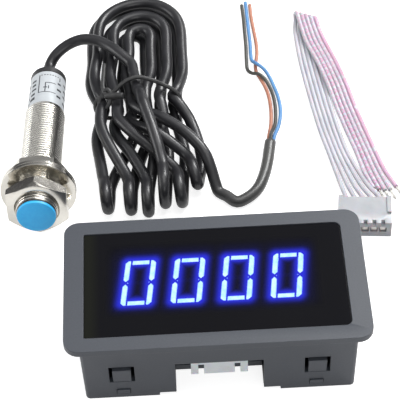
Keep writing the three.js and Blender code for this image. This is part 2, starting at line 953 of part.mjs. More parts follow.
// A lock washer with inner teeth, cut from flat spring steel.
function toothWasher(start) {
  const shape = new THREE.Shape().absarc(0, 0, washerRadius, 0, 2 * Math.PI);
  const rootRadius = washerRadius - washer.rim;
  const tipRadius = barrelDiameter / 2 + washer.toothClearance;
  const hole = new THREE.Path();
  const step = (2 * Math.PI) / washer.teeth;
  const corners = [];
  for (let i = 0; i < washer.teeth; i += 1) {
    const gapHalf = (step * washer.toothRootShare) / 2;
    const tipHalf = (step * washer.toothTipShare) / 2;
    const middle = i * step;
    corners.push([rootRadius, middle - gapHalf], [rootRadius, middle], [rootRadius, middle + gapHalf]);
    const tooth = middle + step / 2;
    corners.push([tipRadius, tooth - tipHalf / 2], [tipRadius, tooth + tipHalf / 2]);
  }
  corners.forEach(([radius, angle], i) => {
    const [x, y] = [radius * Math.cos(angle), radius * Math.sin(angle)];
    if (i === 0) hole.moveTo(x, y);
    else hole.lineTo(x, y);
  });
  hole.closePath();
  shape.holes.push(hole);
  const options = { depth: washer.thickness, bevelEnabled: false, curveSegments: sides.round };
  const ring = new THREE.ExtrudeGeometry(shape, options).rotateX(-Math.PI / 2);
  return join(ring.translate(0, start, 0));
}
add(sensorGroup, "front_tooth_washer", toothWasher(washer.frontAt), materials.nickel);
add(sensorGroup, "rear_tooth_washer", toothWasher(washer.rearAt), materials.nickel);

function sensorLabel() {
  const outer = rod(labelDiameter, threadEnd + turnedFit, labelEnd, sides.round);
  const inner = rod(neckDiameter + turnedFit, 0, sensor.length, sides.round);
  return cut(outer, inner);
}
add(sensorGroup, "sensor_label", sensorLabel(), materials.silverLabel);

// The lamp fills the room that its walls leave between the cable and the barrel's bore.
const lampRoom = (boreDiameter - cableBore) / 2;
const lampDiameter = lampRoom - sensor.lampInnerWall - sensor.lampOuterWall;
const lampOffset = (boreDiameter - lampDiameter) / 2 - sensor.lampOuterWall;

function endCap() {
  const disc = rod(labelDiameter, labelEnd + turnedFit, sensor.length, sides.round);
  const stemStart = labelEnd - sensor.endCapPlugDepth;
  const stem = rod(boreDiameter - 2 * turnedFit, stemStart, sensor.length, sides.round);
  const bore = rod(cableBore, stemStart - overrun, sensor.length + overrun, sides.small);
  const lampHole = rod(
    lampDiameter + 2 * turnedFit,
    sensor.length - sensor.lampLength,
    sensor.length + overrun,
    sides.small,
  ).translate(0, 0, lampOffset);
  return cut(join(disc, stem), bore, lampHole);
}
add(sensorGroup, "sensor_end_cap", endCap(), materials.blackPlastic);

function statusLamp() {
  const [start, end] = [sensor.length - sensor.lampLength + turnedFit, sensor.length];
  const radius = lampDiameter / 2;
  const profile = [
    [0, start],
    [radius, start],
    [radius, end],
    [radius / 2, end + sensor.lampProud],
    [0, end + sensor.lampProud],
  ];
  return join(turned(profile, sides.small).translate(0, 0, lampOffset));
}
add(sensorGroup, "status_lamp", statusLamp(), materials.redLamp);

const hallStart = sensor.capPlugDepth + sensor.hallGap;
const hallEnd = hallStart + sensor.hallLength;
const hallShape = block(
  about(0, sensor.hallSide),
  [hallStart, hallEnd],
  about(0, sensor.hallThickness),
);
add(sensorGroup, "hall_element", hallShape, materials.chipPlastic);

const sensorBoardShape = block(
  about(0, boreDiameter - 2 * sensor.boardInset),
  [hallEnd + fit, labelEnd - sensor.endCapPlugDepth - sensor.boardEndGap],
  about(0, sensor.boardThickness),
);
add(sensorGroup, "sensor_board", sensorBoardShape, materials.circuitBoard);

// The cable: a lead from the sensor to the hank, the tied hank, and a tail to the stripped end.
function alongSensor(distance) {
  return sensorGroup.localToWorld(new THREE.Vector3(0, distance, 0)).toArray();
}

// The hank's loops, in the cable's order. Each comes down on the left, folds over in a finger below
// the tie, and goes up on the right into its arch. Nests count outwards and layers upwards.
const loops = [
  { fingerX: -12.6, fingerY: 45, fallHeight: 8.2, nest: 1, layer: 0 },
  { fingerX: -16.6, fingerY: 42.4, fallHeight: 6.6, nest: 1, layer: 1 },
  { fingerX: -8.6, fingerY: 44.8, fallHeight: 6.6, nest: 2, layer: 0 },
  { fingerX: -26, fingerY: 43.6, fallHeight: 6.6, nest: 0, layer: 0 },
  { fingerX: -4.3, fingerY: 51.6, fallHeight: 5.4, nest: 2, layer: 1 },
  { fingerX: -20.6, fingerY: 43.6, fallHeight: 6.6, nest: 0, layer: 1 },
];
// Between the tie and a finger: how far down a run has come, and how far across.
const fallShares = [[0.36, 0.06], [0.7, 0.6]];
const riseShares = [[0.74, 0.64], [0.36, 0.06]];
// The first run lies over all the others, and so does the last one, which leaves as the tail.
const firstRun = [
  [-20.4, 92.4, 10.4],
  [-19.2, 84, 11.4],
  [-17.6, 76, 11],
  [-15, 66, 10.2],
];
const lastRun = [
  [-17.6, 77.5, 9.8],
  [-12.4, 72.4, 10.4],
  [-7.8, 67.2, 10.2],
  [-4.4, 62.2, 9.2],
  [-1.6, 57.4, 7],
  [0.6, 53.4, 4],
  [3.1, 49.9, 1.75],
  [5.4, 47.9, 1.75],
];
const { lerp } = THREE.MathUtils;

// A finger: the run folds over on itself, standing on edge, with its nose at the tip.
function fingerPoints({ fingerX, fingerY, fallHeight }) {
  const rest = hank.restHeight;
  const swell = fallHeight + hank.foldSwell;
  return [
    [fingerX, fingerY + hank.fingerRoot, fallHeight],
    [fingerX, fingerY + hank.foldLength, swell],
    [fingerX, fingerY + hank.foldNose, fallHeight + hank.foldShoulder],
    [fingerX, fingerY, (swell + rest) / 2],
    [fingerX, fingerY + hank.foldNose, rest + hank.foldHeel],
    [fingerX, fingerY + hank.foldLength, rest],
    [fingerX, fingerY + hank.fingerRoot, rest],
  ];
}

// An arch: up the right leg, over in a half circle and down the left leg to the tie.
function archPoints({ nest, layer }) {
  const radius = hank.archRadius + nest * hank.columnPitch;
  const middleX = hank.archX + layer * hank.layerShiftX;
  const middleY = hank.archY + nest * hank.archPitch + layer * hank.layerShiftY;
  const height = hank.restHeight + layer * hank.layerRise;
  const points = [
    [middleX + radius, hank.tieY + hank.legMiddle, height],
    [middleX + radius, hank.tieY + hank.legTop, height],
  ];
  for (let step = 0; step <= hankCounts.archSteps; step += 1) {
    const angle = (Math.PI * step) / hankCounts.archSteps;
    points.push([middleX + radius * Math.cos(angle), middleY + radius * Math.sin(angle), height]);
  }
  points.push([middleX - radius, hank.tieY + hank.legTop, height]);
  points.push([middleX - radius - hank.legBulge, hank.tieY + hank.legMiddle, height]);
  points.push([hank.leftColumn - nest * hank.columnPitch, hank.tieY, height + hank.tieLift]);
  return points;
}

function hankRoute() {
  const points = [...firstRun];
  loops.forEach((loop, index) => {
    const { fingerX, fingerY, fallHeight, nest, layer } = loop;
    const fall = hank.tieY - fingerY - hank.fingerRoot;
    const [left] = points[points.length - 1];
    const right = hank.rightColumn + nest * hank.columnPitch;
    const height = hank.restHeight + layer * hank.layerRise;
    if (index > 0) {
      for (const [down, across] of fallShares) {
        points.push([lerp(left, fingerX, across), hank.tieY - down * fall, fallHeight]);
      }
    }
    points.push(...fingerPoints(loop));
    for (const [down, across] of riseShares) {
      points.push([lerp(right, fingerX, across), hank.tieY - down * fall, hank.restHeight]);
    }
    points.push([right, hank.tieY, height + hank.tieLift]);
    points.push(...archPoints(loop));
  });
  points.push(...lastRun);
  const curve = roundRoute(points);
  curve.arcLengthDivisions = hankCounts.points * hankCounts.archSteps;
  return curve.getSpacedPoints(hankCounts.points);
}

// Pairs of points that are near each other, though far apart along the cable.
function nearPairs(points, within) {
  const spacing = points[0].distanceTo(points[1]);
  const apart = Math.ceil((settleShares.apart * cable.diameter) / spacing);
  const pairs = [];
  for (let i = 0; i < points.length; i += 1) {
    for (let j = i + apart; j < points.length; j += 1) {
      if (points[i].distanceTo(points[j]) < within) pairs.push([i, j]);
    }
  }
  return pairs;
}

// The runs push each other apart and sink until they rest. The ends, and what the tie holds, stay.
function settled(start) {
  const reach = cable.diameter + hank.spread;
  const points = start.map((point) => point.clone());
  const moved = start.map(() => new THREE.Vector3());
  const last = start.length - 1;
  const held = (i) => i < 2 || i > last - 2 || Math.abs(start[i].y - hank.tieY) < hank.tieHold;
  const push = new THREE.Vector3();
  let pairs = [];
  for (let round = 0; round < hankCounts.rounds; round += 1) {
    if (round % hankCounts.pairRounds === 0) pairs = nearPairs(points, reach + hank.nearby);
    for (const [i, j] of pairs) {
      const distance = points[i].distanceTo(points[j]);
      if (distance < reach) {
        push.subVectors(points[i], points[j]);
        push.multiplyScalar((settleShares.push * (reach - distance)) / distance);
        moved[i].add(push);
        moved[j].sub(push);
      }
    }
    const before = moved.map((shift) => shift.clone());
    for (let i = 0; i <= last; i += 1) {
      if (held(i)) moved[i].set(0, 0, 0);
      else {
        const between = push.addVectors(before[i - 1], before[i + 1]).divideScalar(2);
        moved[i].lerp(between, settleShares.smooth);
        moved[i].z = Math.max(moved[i].z - hank.sag, hank.restHeight - start[i].z);
      }
      points[i].addVectors(start[i], moved[i]);
    }
  }
  return points;
}

// Middles for the tube's rings, close together where the cable turns.
function ringMiddles(points) {
  const load = [0];
  for (let i = 1; i < points.length; i += 1) {
    const way = points[i].clone().sub(points[i - 1]);
    const wayBefore = i > 1 ? points[i - 1].clone().sub(points[i - 2]) : way;
    const turn = THREE.MathUtils.radToDeg(way.angleTo(wayBefore));
    load.push(load[i - 1] + way.length() / hank.straightStep + turn / hank.turnStep);
  }
  const middles = [];
  let i = 1;
  for (let ring = 0; ring <= hankCounts.rings; ring += 1) {
    const wanted = (load[load.length - 1] * ring) / hankCounts.rings;
    while (i < load.length - 1 && load[i] < wanted) i += 1;
    const share = (wanted - load[i - 1]) / (load[i] - load[i - 1]);
    middles.push(points[i - 1].clone().lerp(points[i], share));
  }
  return middles;
}

// The least gap between two runs of the tube, measured on points of its straight pieces.
function leastGap(middles) {
  const probes = [];
  let along = 0;
  for (let i = 1; i < middles.length; i += 1) {
    const length = middles[i].distanceTo(middles[i - 1]);
    const count = Math.ceil(length / hank.probe);
    for (let k = 0; k < count; k += 1) {
      const point = middles[i - 1].clone().lerp(middles[i], k / count);
      probes.push({ point, along: along + (length * k) / count });
    }
    along += length;
  }
  let least = Infinity;
  probes.forEach((one, i) => {
    for (const other of probes.slice(i + 1)) {
      if (other.along - one.along > settleShares.apart * cable.diameter) {
        least = Math.min(least, one.point.distanceTo(other.point));
      }
    }
  });
  return least - cable.diameter;
}

const hankMiddles = ringMiddles(settled(hankRoute()));
console.log("least gap of the hank to itself:", leastGap(hankMiddles).toFixed(2), "mm");

const [hankStart, hankNext] = firstRun;
const leadRoute = [
  alongSensor(sensor.length - cable.entryDepth),
  alongSensor(sensor.length),
  alongSensor(sensor.length + cable.diameter),
  [-46.2, 102.4, 4.7],
  [-44.3, 105.4, 6.2],
  [-40.5, 107.4, 8.3],
  [-36.0, 107.9, 9.9],
  [-31.8, 106.7, 10.5],
  [-28.0, 104.2, 10.5],
  [-24.6, 100.6, 10.5],
  past(hankStart, hankNext, seamWidth + cable.diameter),
  past(hankStart, hankNext, seamWidth),
];
const lead = join(cord(leadRoute, cable.diameter, sides.cable, cable.leadSteps));
add(tachometer, "sensor_cable_lead", lead, materials.blackCable);

const hankTube = join(tube(hankMiddles, cable.diameter, sides.hank));
add(tachometer, "sensor_cable_hank", hankTube, materials.blackCable);

// The tie: a soft strap once round the runs and the lead on top of them, knotted on the left.
function tieRing(outset) {
  const [left, right] = [tie.left - outset, tie.right + outset];
  const profile = [
    [left, tie.thickness - outset],
    [right, tie.thickness - outset],
    [right, tie.shoulder],
    [tie.crownRight + outset, tie.crown + outset],
    [tie.crownLeft - outset, tie.crown + outset],
    [left, tie.shoulder],
  ];
  const ends = outset > 0 ? about(hank.tieY, tie.width) : about(hank.tieY, tie.width + 2 * overrun);
  return barAlongY(profile, ends);
}

function cableTie() {
  const knotRight = tie.left - tie.thickness / 2;
  const knot = block(
    [knotRight - tie.knotSide, knotRight],
    about(hank.tieY, tie.knotSide),
    [tie.knotLow, tie.knotHigh],
  );
  return join(cut(tieRing(tie.thickness), tieRing(0)), knot);
}
add(tachometer, "cable_tie", cableTie(), materials.blackPlastic);

const [hankBefore, hankEnd] = lastRun.slice(-2);
const tailRoute = [
  past(hankEnd, hankBefore, seamWidth),
  past(hankEnd, hankBefore, seamWidth + cable.diameter),
  [11.6, 47.0, 1.75],
  [14.6, 50.2, 1.75],
  [16.8, 55.4, 1.75],
  [18.2, 60.9, 1.75],
  [18.9, 64.9, 1.75],
  [19.5, 68.3, 1.75],
];
const tail = join(cord(tailRoute, cable.diameter, sides.cable, cable.tailSteps));
add(tachometer, "sensor_cable_tail", tail, materials.blackCable);

// The three cores of the stripped end lie fanned, cross once and end in one loose bunch.
const coreRoutes = {
  brown_wire: [
    [18.9, 68.75, 1.2],
    [19.3, 71.5, 0.9],
    [20.2, 76.0, 0.63],
    [20.7, 82.0, 0.63],
    [20.5, 88.0, 0.63],
    [19.7, 92.5, 0.63],
    [18.4, 96.4, 0.63],
    [17.4, 99.4, 0.63],
    [17.4, 102.4, 0.63],
    [18.1, 107.0, 0.63],
    [18.2, 112.0, 0.63],
    [17.8, 118.0, 0.63],
    [17.4, 124.0, 0.63],
    [17.3, 129.9, 0.63],
  ],
  blue_wire: [
    [20.4, 68.4, 1.5],
    [21.0, 71.4, 1.1],
    [22.6, 76.0, 0.63],
    [23.6, 82.0, 0.63],
    [23.3, 88.0, 0.63],
    [22.5, 92.0, 0.63],
    [21.3, 96.4, 0.9],
    [19.8, 99.2, 1.7],
    [17.8, 101.3, 2.1],
    [16.4, 103.6, 1.3],
    [16.2, 107.4, 0.63],
    [16.3, 112.0, 0.63],
    [16.2, 118.0, 0.63],
    [16.1, 124.0, 0.63],
    [16.0, 131.2, 0.63],
  ],
  black_wire: [
    [19.6, 68.55, 2.5],
    [20.0, 71.6, 2.0],
    [21.4, 76.0, 0.8],
    [22.1, 82.0, 0.63],
    [21.9, 88.0, 0.63],
    [21.1, 92.2, 0.63],
    [19.6, 95.4, 1.5],
    [17.9, 96.9, 2.1],
    [16.0, 98.0, 1.4],
    [14.8, 100.4, 0.63],
    [14.7, 105.0, 0.63],
    [14.9, 111.0, 0.63],
    [14.9, 118.0, 0.63],
    [14.9, 124.0, 0.63],
    [14.7, 130.0, 0.63],
  ],
};
const coreMaterials = {
  brown_wire: materials.brownWire,
  blue_wire: materials.blueWire,
  black_wire: materials.blackCable,
};
for (const [name, route] of Object.entries(coreRoutes)) {
  const core = join(cord(route, cable.coreDiameter, sides.wire, cable.coreSteps));
  add(tachometer, name, core, coreMaterials[name]);
}

// The harness plug: its own group, with y from the mating face to the wires.
const plugGroup = new THREE.Group();
plugGroup.name = "harness_plug";
plugGroup.rotation.z = THREE.MathUtils.degToRad(plug.yaw);
plugGroup.position.set(plug.rearX, plug.rearY, 0);
plugGroup.updateMatrixWorld(true);
tachometer.add(plugGroup);

const plugMiddle = plug.height / 2;

function wayX(index) {
  return stepsFromMiddle(index, header.ways) * plug.pitch;
}

function plugHousing() {
  const body = block(about(0, plug.width), [-plug.length, 0], [0, plug.height]);
  const rails = [-1, 1].map((side) =>
    block(
      about((side * (plug.width - plug.railWidth)) / 2, plug.railWidth),
      [-plug.railLength, 0],
      [plug.height / 2, plug.height + plug.railHeight],
    ),
  );
  const openings = [];
  const front = -plug.length - overrun;
  const scallopHeights = [plug.height - plug.scallopHeight, plug.height + overrun];
  for (let i = 0; i < header.ways; i += 1) {
    const cavity = [about(wayX(i), plug.cavitySide), [front, overrun]];
    openings.push(block(...cavity, about(plugMiddle, plug.cavitySide)));
    const scallop = [about(wayX(i), plug.scallopWidth), [front, plug.scallopDepth - plug.length]];
    openings.push(block(...scallop, scallopHeights));
  }
  return cut(join(body, ...rails), ...openings);
}
add(plugGroup, "plug_housing", plugHousing(), materials.whitePlastic);

for (let i = 0; i < header.ways; i += 1) {
  const start = plug.terminalSetback - plug.length;
  const terminal = block(
    about(wayX(i), plug.terminalSide),
    [start, start + plug.terminalLength],
    about(plugMiddle, plug.terminalSide),
  );
  add(plugGroup, `plug_terminal_${i + 1}`, terminal, materials.tinnedMetal);
}

// The harness wires: a ribbon of five that leaves the plug, folds over and comes back beside it.
function inPlug(x, y) {
  return plugGroup.localToWorld(new THREE.Vector3(x, y, plugMiddle)).toArray();
}

// Each row is the middle of the ribbon and how far its wires stand apart there.
const plainRun = [
  { x: 42.6, y: 49.6, z: 1.5, spread: 1.9 },
  { x: 41.0, y: 56.6, z: 0.68, spread: 1.6 },
  { x: 39.2, y: 64.0, z: 0.68, spread: 1.36 },
  { x: 37.7, y: 72.0, z: 0.68, spread: 1.36 },
  { x: 36.4, y: 81.4, z: 0.68, spread: 1.36 },
  { x: 35.2, y: 91.7, z: 0.68, spread: 1.36 },
  { x: 34.2, y: 101.9, z: 0.68, spread: 1.36 },
  { x: 33.7, y: 111.0, z: 0.68, spread: 1.36 },
];
const printedRun = [
  { x: 36.6, y: 110.0, z: 2.3, spread: 1.4 },
  { x: 39.4, y: 100.1, z: 2.2, spread: 1.36 },
  { x: 41.6, y: 90.4, z: 2.1, spread: 1.36 },
  { x: 43.4, y: 82.0, z: 0.85, spread: 1.36 },
  { x: 45.4, y: 72.5, z: 0.68, spread: 1.38 },
  { x: 47.4, y: 63.4, z: 0.68, spread: 1.38 },
  { x: 49.1, y: 55.6, z: 0.68, spread: 1.5 },
];
const printedEnds = [
  [48.1, 48.6, 0.68],
  [49.7, 48.0, 0.68],
  [51.3, 47.6, 0.68],
  [52.9, 47.8, 0.68],
  [54.7, 48.9, 0.68],
];

function acrossRun({ x, y, z, spread }, place) {
  return [x + place * spread, y, z];
}

// The fold: up and over on itself, with the tips in a slanting line.
function foldPoints(place) {
  const across = place * ribbon.pitch;
  const x = ribbon.foldX + across;
  const tip = ribbon.foldY - across * ribbon.foldSlopeShare;
  const rest = ribbon.restHeight;
  const top = rest + 2 * ribbon.foldRise;
  return [
    [x + ribbon.foldStart, tip - ribbon.foldFar, rest],
    [x, tip - ribbon.foldNear, rest + ribbon.foldLift],
    [x, tip, rest + ribbon.foldRise],
    [x + ribbon.foldLean, tip - ribbon.foldNear, top],
    [x + ribbon.foldDrift, tip - ribbon.foldFar, top - ribbon.foldDip],
  ];
}

function addHarnessWires() {
  for (let i = 0; i < header.ways; i += 1) {
    const place = stepsFromMiddle(i, header.ways);
    const end = printedEnds[i];
    const route = [
      inPlug(wayX(i), -plug.wireDepth),
      inPlug(wayX(i), 0),
      inPlug(wayX(i), ribbon.wireDiameter),
      ...plainRun.map((row) => acrossRun(row, place)),
      ...foldPoints(place),
      ...printedRun.map((row) => acrossRun(row, place)),
      end,
    ];
    const wire = join(cord(route, ribbon.wireDiameter, sides.wire, ribbon.steps));
    add(tachometer, `harness_wire_${i + 1}`, wire, materials.ribbonWire);
    const heading = new THREE.Vector3(...end).sub(new THREE.Vector3(...route.at(-2))).normalize();
    const near = new THREE.Vector3(...end).addScaledVector(heading, turnedFit);
    const far = near.clone().addScaledVector(heading, ribbon.tinnedLength);
    const bare = cord([near.toArray(), far.toArray()], ribbon.tinnedDiameter, sides.wire, 1);
    add(tachometer, `tinned_wire_end_${i + 1}`, join(bare), materials.tinnedMetal);
  }
}
addHarnessWires();

export default tachometer;
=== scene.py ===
"""The looks of the digital tachometer: its panel meter, its proximity sensor on a cable, and its
loose harness, dressed in Blender around its solids. Metres, Z up, the solids' own frame."""

import math

import bmesh
import bpy
import numpy as np
from mathutils import Matrix, Vector


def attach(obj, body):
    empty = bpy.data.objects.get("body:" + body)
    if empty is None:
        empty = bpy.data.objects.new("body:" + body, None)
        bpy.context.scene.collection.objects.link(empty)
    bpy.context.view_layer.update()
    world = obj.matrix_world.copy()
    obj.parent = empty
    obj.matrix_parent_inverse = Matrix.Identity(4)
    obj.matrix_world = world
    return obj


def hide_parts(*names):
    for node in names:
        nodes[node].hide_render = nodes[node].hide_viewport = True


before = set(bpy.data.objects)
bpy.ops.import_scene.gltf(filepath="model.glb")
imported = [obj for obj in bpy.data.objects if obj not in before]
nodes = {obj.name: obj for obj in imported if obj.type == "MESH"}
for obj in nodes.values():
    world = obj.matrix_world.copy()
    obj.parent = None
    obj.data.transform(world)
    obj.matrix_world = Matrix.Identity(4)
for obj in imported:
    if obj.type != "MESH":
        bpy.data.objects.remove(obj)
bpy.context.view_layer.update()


# The camera stands in front of the meter, half way up to straight above it, a little rolled.
# It looks at a point behind the meter, from half a metre away, through a long lens.
camera_target = Vector((-0.002362, 0.048194, 0.0))
camera_distance = 0.490109
camera_azimuth = math.radians(-0.7964)
camera_elevation = math.radians(48.8148)
camera_roll = math.radians(-2.366)
camera_lens = 151.8

back = Vector((
    math.sin(camera_azimuth) * math.cos(camera_elevation),
    -math.cos(camera_azimuth) * math.cos(camera_elevation),
    math.sin(camera_elevation),
))
level = Vector((0, 0, 1)).cross(back).normalized()
upright = back.cross(level)
right = level * math.cos(camera_roll) + upright * math.sin(camera_roll)
up = upright * math.cos(camera_roll) - level * math.sin(camera_roll)
camera_data = bpy.data.cameras.new("camera")
camera_data.sensor_width = 36
camera_data.lens = camera_lens
camera_data.clip_start = 0.01
camera = bpy.data.objects.new("camera", camera_data)
bpy.context.collection.objects.link(camera)
camera.matrix_world = Matrix.Translation(camera_target + back * camera_distance) @ Matrix((
    (right.x, up.x, back.x, 0),
    (right.y, up.y, back.y, 0),
    (right.z, up.z, back.z, 0),
    (0, 0, 0, 1),
))
bpy.context.scene.camera = camera


# The sensor's cable: a soft black PVC sheath, extruded round three cores. It leaves the end cap,
# passes over the head of its own hank, goes round six loops that a tie holds, and comes out as
# the tail, whose end is blended to a lighter grey.
cable_diameter = 0.0034
cable_sides = 20
cable_spacing = 0.0009
hank_spacing = 0.0004
hank_steps = 360
seam = 0.0003
rest_height = 0.00175
column_pitch = 0.0041
layer_rise = 0.0041
tie_y = 0.084
tie_hold = 0.0016
tie_lift = 0.00125
left_column = -0.0213
right_column = -0.017
leg_middle = 0.011
leg_top = 0.021
leg_bulge = 0.0008
arch_x, arch_y = -0.0195, 0.1124
arch_radius = 0.0038
arch_pitch = 0.0021
layer_shift = (0.0006, -0.0012)
finger_root = 0.01
fold_length = 0.0044
fold_swell = 0.0016
fold_nose = 0.0012
fold_shoulder = 0.0005
fold_heel = 0.00115

# Each loop: its finger's tip, the height at which it comes down, its nest and its layer.
loops = [
    (-0.0126, 0.045, 0.0082, 1, 0),
    (-0.0166, 0.0424, 0.0066, 1, 1),
    (-0.0086, 0.0448, 0.0066, 2, 0),
    (-0.026, 0.0436, 0.0066, 0, 0),
    (-0.0043, 0.0516, 0.0054, 2, 1),
    (-0.0206, 0.0436, 0.0066, 0, 1),
]
fall_shares = [(0.36, 0.06), (0.7, 0.6)]
rise_shares = [(0.74, 0.64), (0.36, 0.06)]
first_run = [
    (-0.0204, 0.0924, 0.0104),
    (-0.0192, 0.084, 0.0114),
    (-0.0176, 0.076, 0.011),
    (-0.015, 0.066, 0.0102),
]
last_run = [
    (-0.0176, 0.0775, 0.0098),
    (-0.0124, 0.0724, 0.0104),
    (-0.0078, 0.0672, 0.0102),
    (-0.0044, 0.0622, 0.0092),
    (-0.0016, 0.0574, 0.007),
    (0.0006, 0.0534, 0.004),
    (0.0031, 0.0499, rest_height),
    (0.0054, 0.0479, rest_height),
]


# The smooth line that a cable takes through a few points, with its own points evenly spaced.
def cable_line(points, spacing, count=None):
    points = np.array(points, float)
    before = 2 * points[0] - points[1]
    after = 2 * points[-1] - points[-2]
    padded = np.vstack([before, points, after])
    fine = []
    for i in range(1, len(padded) - 2):
        p0, p1, p2, p3 = padded[i - 1:i + 3]
        t0 = np.linalg.norm(p1 - p0) ** 0.5
        t1 = np.linalg.norm(p2 - p1) ** 0.5
        t2 = np.linalg.norm(p3 - p2) ** 0.5
        slope1 = ((p1 - p0) / t0 - (p2 - p0) / (t0 + t1) + (p2 - p1) / t1) * t1
        slope2 = ((p2 - p1) / t1 - (p3 - p1) / (t1 + t2) + (p3 - p2) / t2) * t1
        steps = max(8, int(4 * np.linalg.norm(p2 - p1) / spacing))
        for t in np.arange(steps) / steps:
            fine.append(
                p1 + slope1 * t
                + (3 * (p2 - p1) - 2 * slope1 - slope2) * t ** 2
                + (2 * (p1 - p2) + slope1 + slope2) * t ** 3
            )
    fine.append(points[-1])
    fine = np.array(fine)
    along = np.concatenate([[0], np.cumsum(np.linalg.norm(np.diff(fine, axis=0), axis=1))])
    wanted = np.linspace(0, along[-1], (count or max(2, round(along[-1] / spacing))) + 1)
    return np.column_stack([np.interp(wanted, along, fine[:, axis]) for axis in range(3)])


def cable_length(line):
    return float(np.linalg.norm(np.diff(line, axis=0), axis=1).sum())


# A mesh from its points and faces, shaded as a smooth skin unless it is flat.
def skin(name, points, faces, smooth=True):
    mesh = bpy.data.meshes.new(name)
    mesh.from_pydata([tuple(map(float, point)) for point in points], [], faces)
    mesh.update()
    if smooth:
        mesh.shade_smooth()
    return mesh


# A sheath is a round tube along a line that starts out fairly level, closed at both ends. Its UV
# map holds the share of the way round and the metres along, so that a finish can follow the cable.
def sheath(name, line, diameter, sides):
    ahead = np.gradient(line, axis=0)
    ahead /= np.linalg.norm(ahead, axis=1)[:, None]
    upward = np.array([0.0, 0.0, 1.0])
    points = []
    for middle, direction in zip(line, ahead):
        upward = upward - (upward @ direction) * direction
        upward /= np.linalg.norm(upward)
        across = np.cross(direction, upward)
        for side in range(sides):
            angle = 2 * math.pi * side / sides
            spoke = math.cos(angle) * upward + math.sin(angle) * across
            points.append(middle + spoke * diameter / 2)
    faces = []
    places = []
    along = np.concatenate([[0], np.cumsum(np.linalg.norm(np.diff(line, axis=0), axis=1))])
    for ring in range(len(line) - 1):
        for side in range(sides):
            following = (side + 1) % sides
            near, far = ring * sides, (ring + 1) * sides
            faces.append((near + side, near + following, far + following, far + side))
            round_share = (side / sides, (side + 1) / sides)
            places += [
                (round_share[0], along[ring]),
                (round_share[1], along[ring]),
                (round_share[1], along[ring + 1]),
                (round_share[0], along[ring + 1]),
            ]
    last = (len(line) - 1) * sides
    faces.append(tuple(reversed(range(sides))))
    faces.append(tuple(last + side for side in range(sides)))
    places += [(0.5, along[0])] * sides + [(0.5, along[-1])] * sides
    mesh = skin(name, points, faces)
    layer = mesh.uv_layers.new(name="along")
    layer.data.foreach_set("uv", np.array(places, dtype=np.float32).ravel())
    for cap in (len(faces) - 2, len(faces) - 1):
        mesh.polygons[cap].use_smooth = False
    return mesh


# A piece keeps its place in its mesh and moves with one body of the set.
def place_piece(name, mesh, body="tachometer_set"):
    piece = bpy.data.objects.new(name, mesh)
    bpy.context.collection.objects.link(piece)
    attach(piece, body)
    return piece


# At its lower end a loop comes down over itself as a finger and goes back along the table.
def finger_points(x, y, fall_height):
    swell = fall_height + fold_swell
    return [
        (x, y + finger_root, fall_height),
        (x, y + fold_length, swell),
        (x, y + fold_nose, fall_height + fold_shoulder),
        (x, y, (swell + rest_height) / 2),
        (x, y + fold_nose, rest_height + fold_heel),
        (x, y + fold_length, rest_height),
        (x, y + finger_root, rest_height),
    ]


# At its upper end a loop goes round an arch, one nest within the other, in two layers.
def arch_points(nest, layer):
    radius = arch_radius + nest * column_pitch
    middle_x = arch_x + layer * layer_shift[0]
    middle_y = arch_y + nest * arch_pitch + layer * layer_shift[1]
    height = rest_height + layer * layer_rise
    half_circle = [
        (middle_x + radius * math.cos(angle), middle_y + radius * math.sin(angle), height)
        for angle in np.linspace(0, math.pi, 9)
    ]
    return [
        (middle_x + radius, tie_y + leg_middle, height),
        (middle_x + radius, tie_y + leg_top, height),
        *half_circle,
        (middle_x - radius, tie_y + leg_top, height),
        (middle_x - radius - leg_bulge, tie_y + leg_middle, height),
        (left_column - nest * column_pitch, tie_y, height + tie_lift),
    ]


def hank_points():
    points = list(first_run)
    for index, (x, y, fall_height, nest, layer) in enumerate(loops):
        fall = tie_y - y - finger_root
        left = points[-1][0]
        right_x = right_column + nest * column_pitch
        if index > 0:
            points += [
                (left + (x - left) * across, tie_y - down * fall, fall_height)
                for down, across in fall_shares
            ]
        points += finger_points(x, y, fall_height)
        points += [
            (right_x + (x - right_x) * across, tie_y - down * fall, rest_height)
            for down, across in rise_shares
        ]
        points.append((right_x, tie_y, rest_height + layer * layer_rise + tie_lift))
        points += arch_points(nest, layer)
    return points + last_run


# The runs push each other apart and sink until they rest, as they do in the solid. Runs that are
# only a few diameters apart along the cable aren't compared, and the tie's place is held.
settle_spread = 0.0015
settle_nearby = 0.002
settle_sag = 0.000003
settle_rounds = 3000
compared_from = 3
search_every = 20
push_share = 0.25
follow_share = 0.1


def settled(start):
    reach = cable_diameter + settle_spread
    last = len(start) - 1
    order = np.arange(last + 1)
    held = (order < 2) | (order > last - 2) | (np.abs(start[:, 1] - tie_y) < tie_hold)
    apart = math.ceil(compared_from * cable_diameter / np.linalg.norm(start[1] - start[0]))
    points = start.copy()
    moved = np.zeros_like(start)
    for turn in range(settle_rounds):
        if turn % search_every == 0:
            gaps = np.linalg.norm(points[:, None] - points[None], axis=2)
            far_along = order[None] - order[:, None] >= apart
            one, other = np.nonzero(far_along & (gaps < reach + settle_nearby))
        between = points[one] - points[other]
        distance = np.linalg.norm(between, axis=1)
        push = push_share * np.maximum(reach - distance, 0) / distance
        np.add.at(moved, one, between * push[:, None])
        np.add.at(moved, other, -between * push[:, None])
        middle = (moved[:-2] + moved[2:]) / 2
        moved[1:-1] = moved[1:-1] * (1 - follow_share) + middle * follow_share
        moved[:, 2] = np.maximum(moved[:, 2] - settle_sag, rest_height - start[:, 2])
        moved[held] = 0
        points = start + moved
    return points


# A point past the end of a run, in the run's own direction.
def past(end, before, distance):
    onward = np.array(end) - np.array(before)
    return np.array(end) + onward / np.linalg.norm(onward) * distance


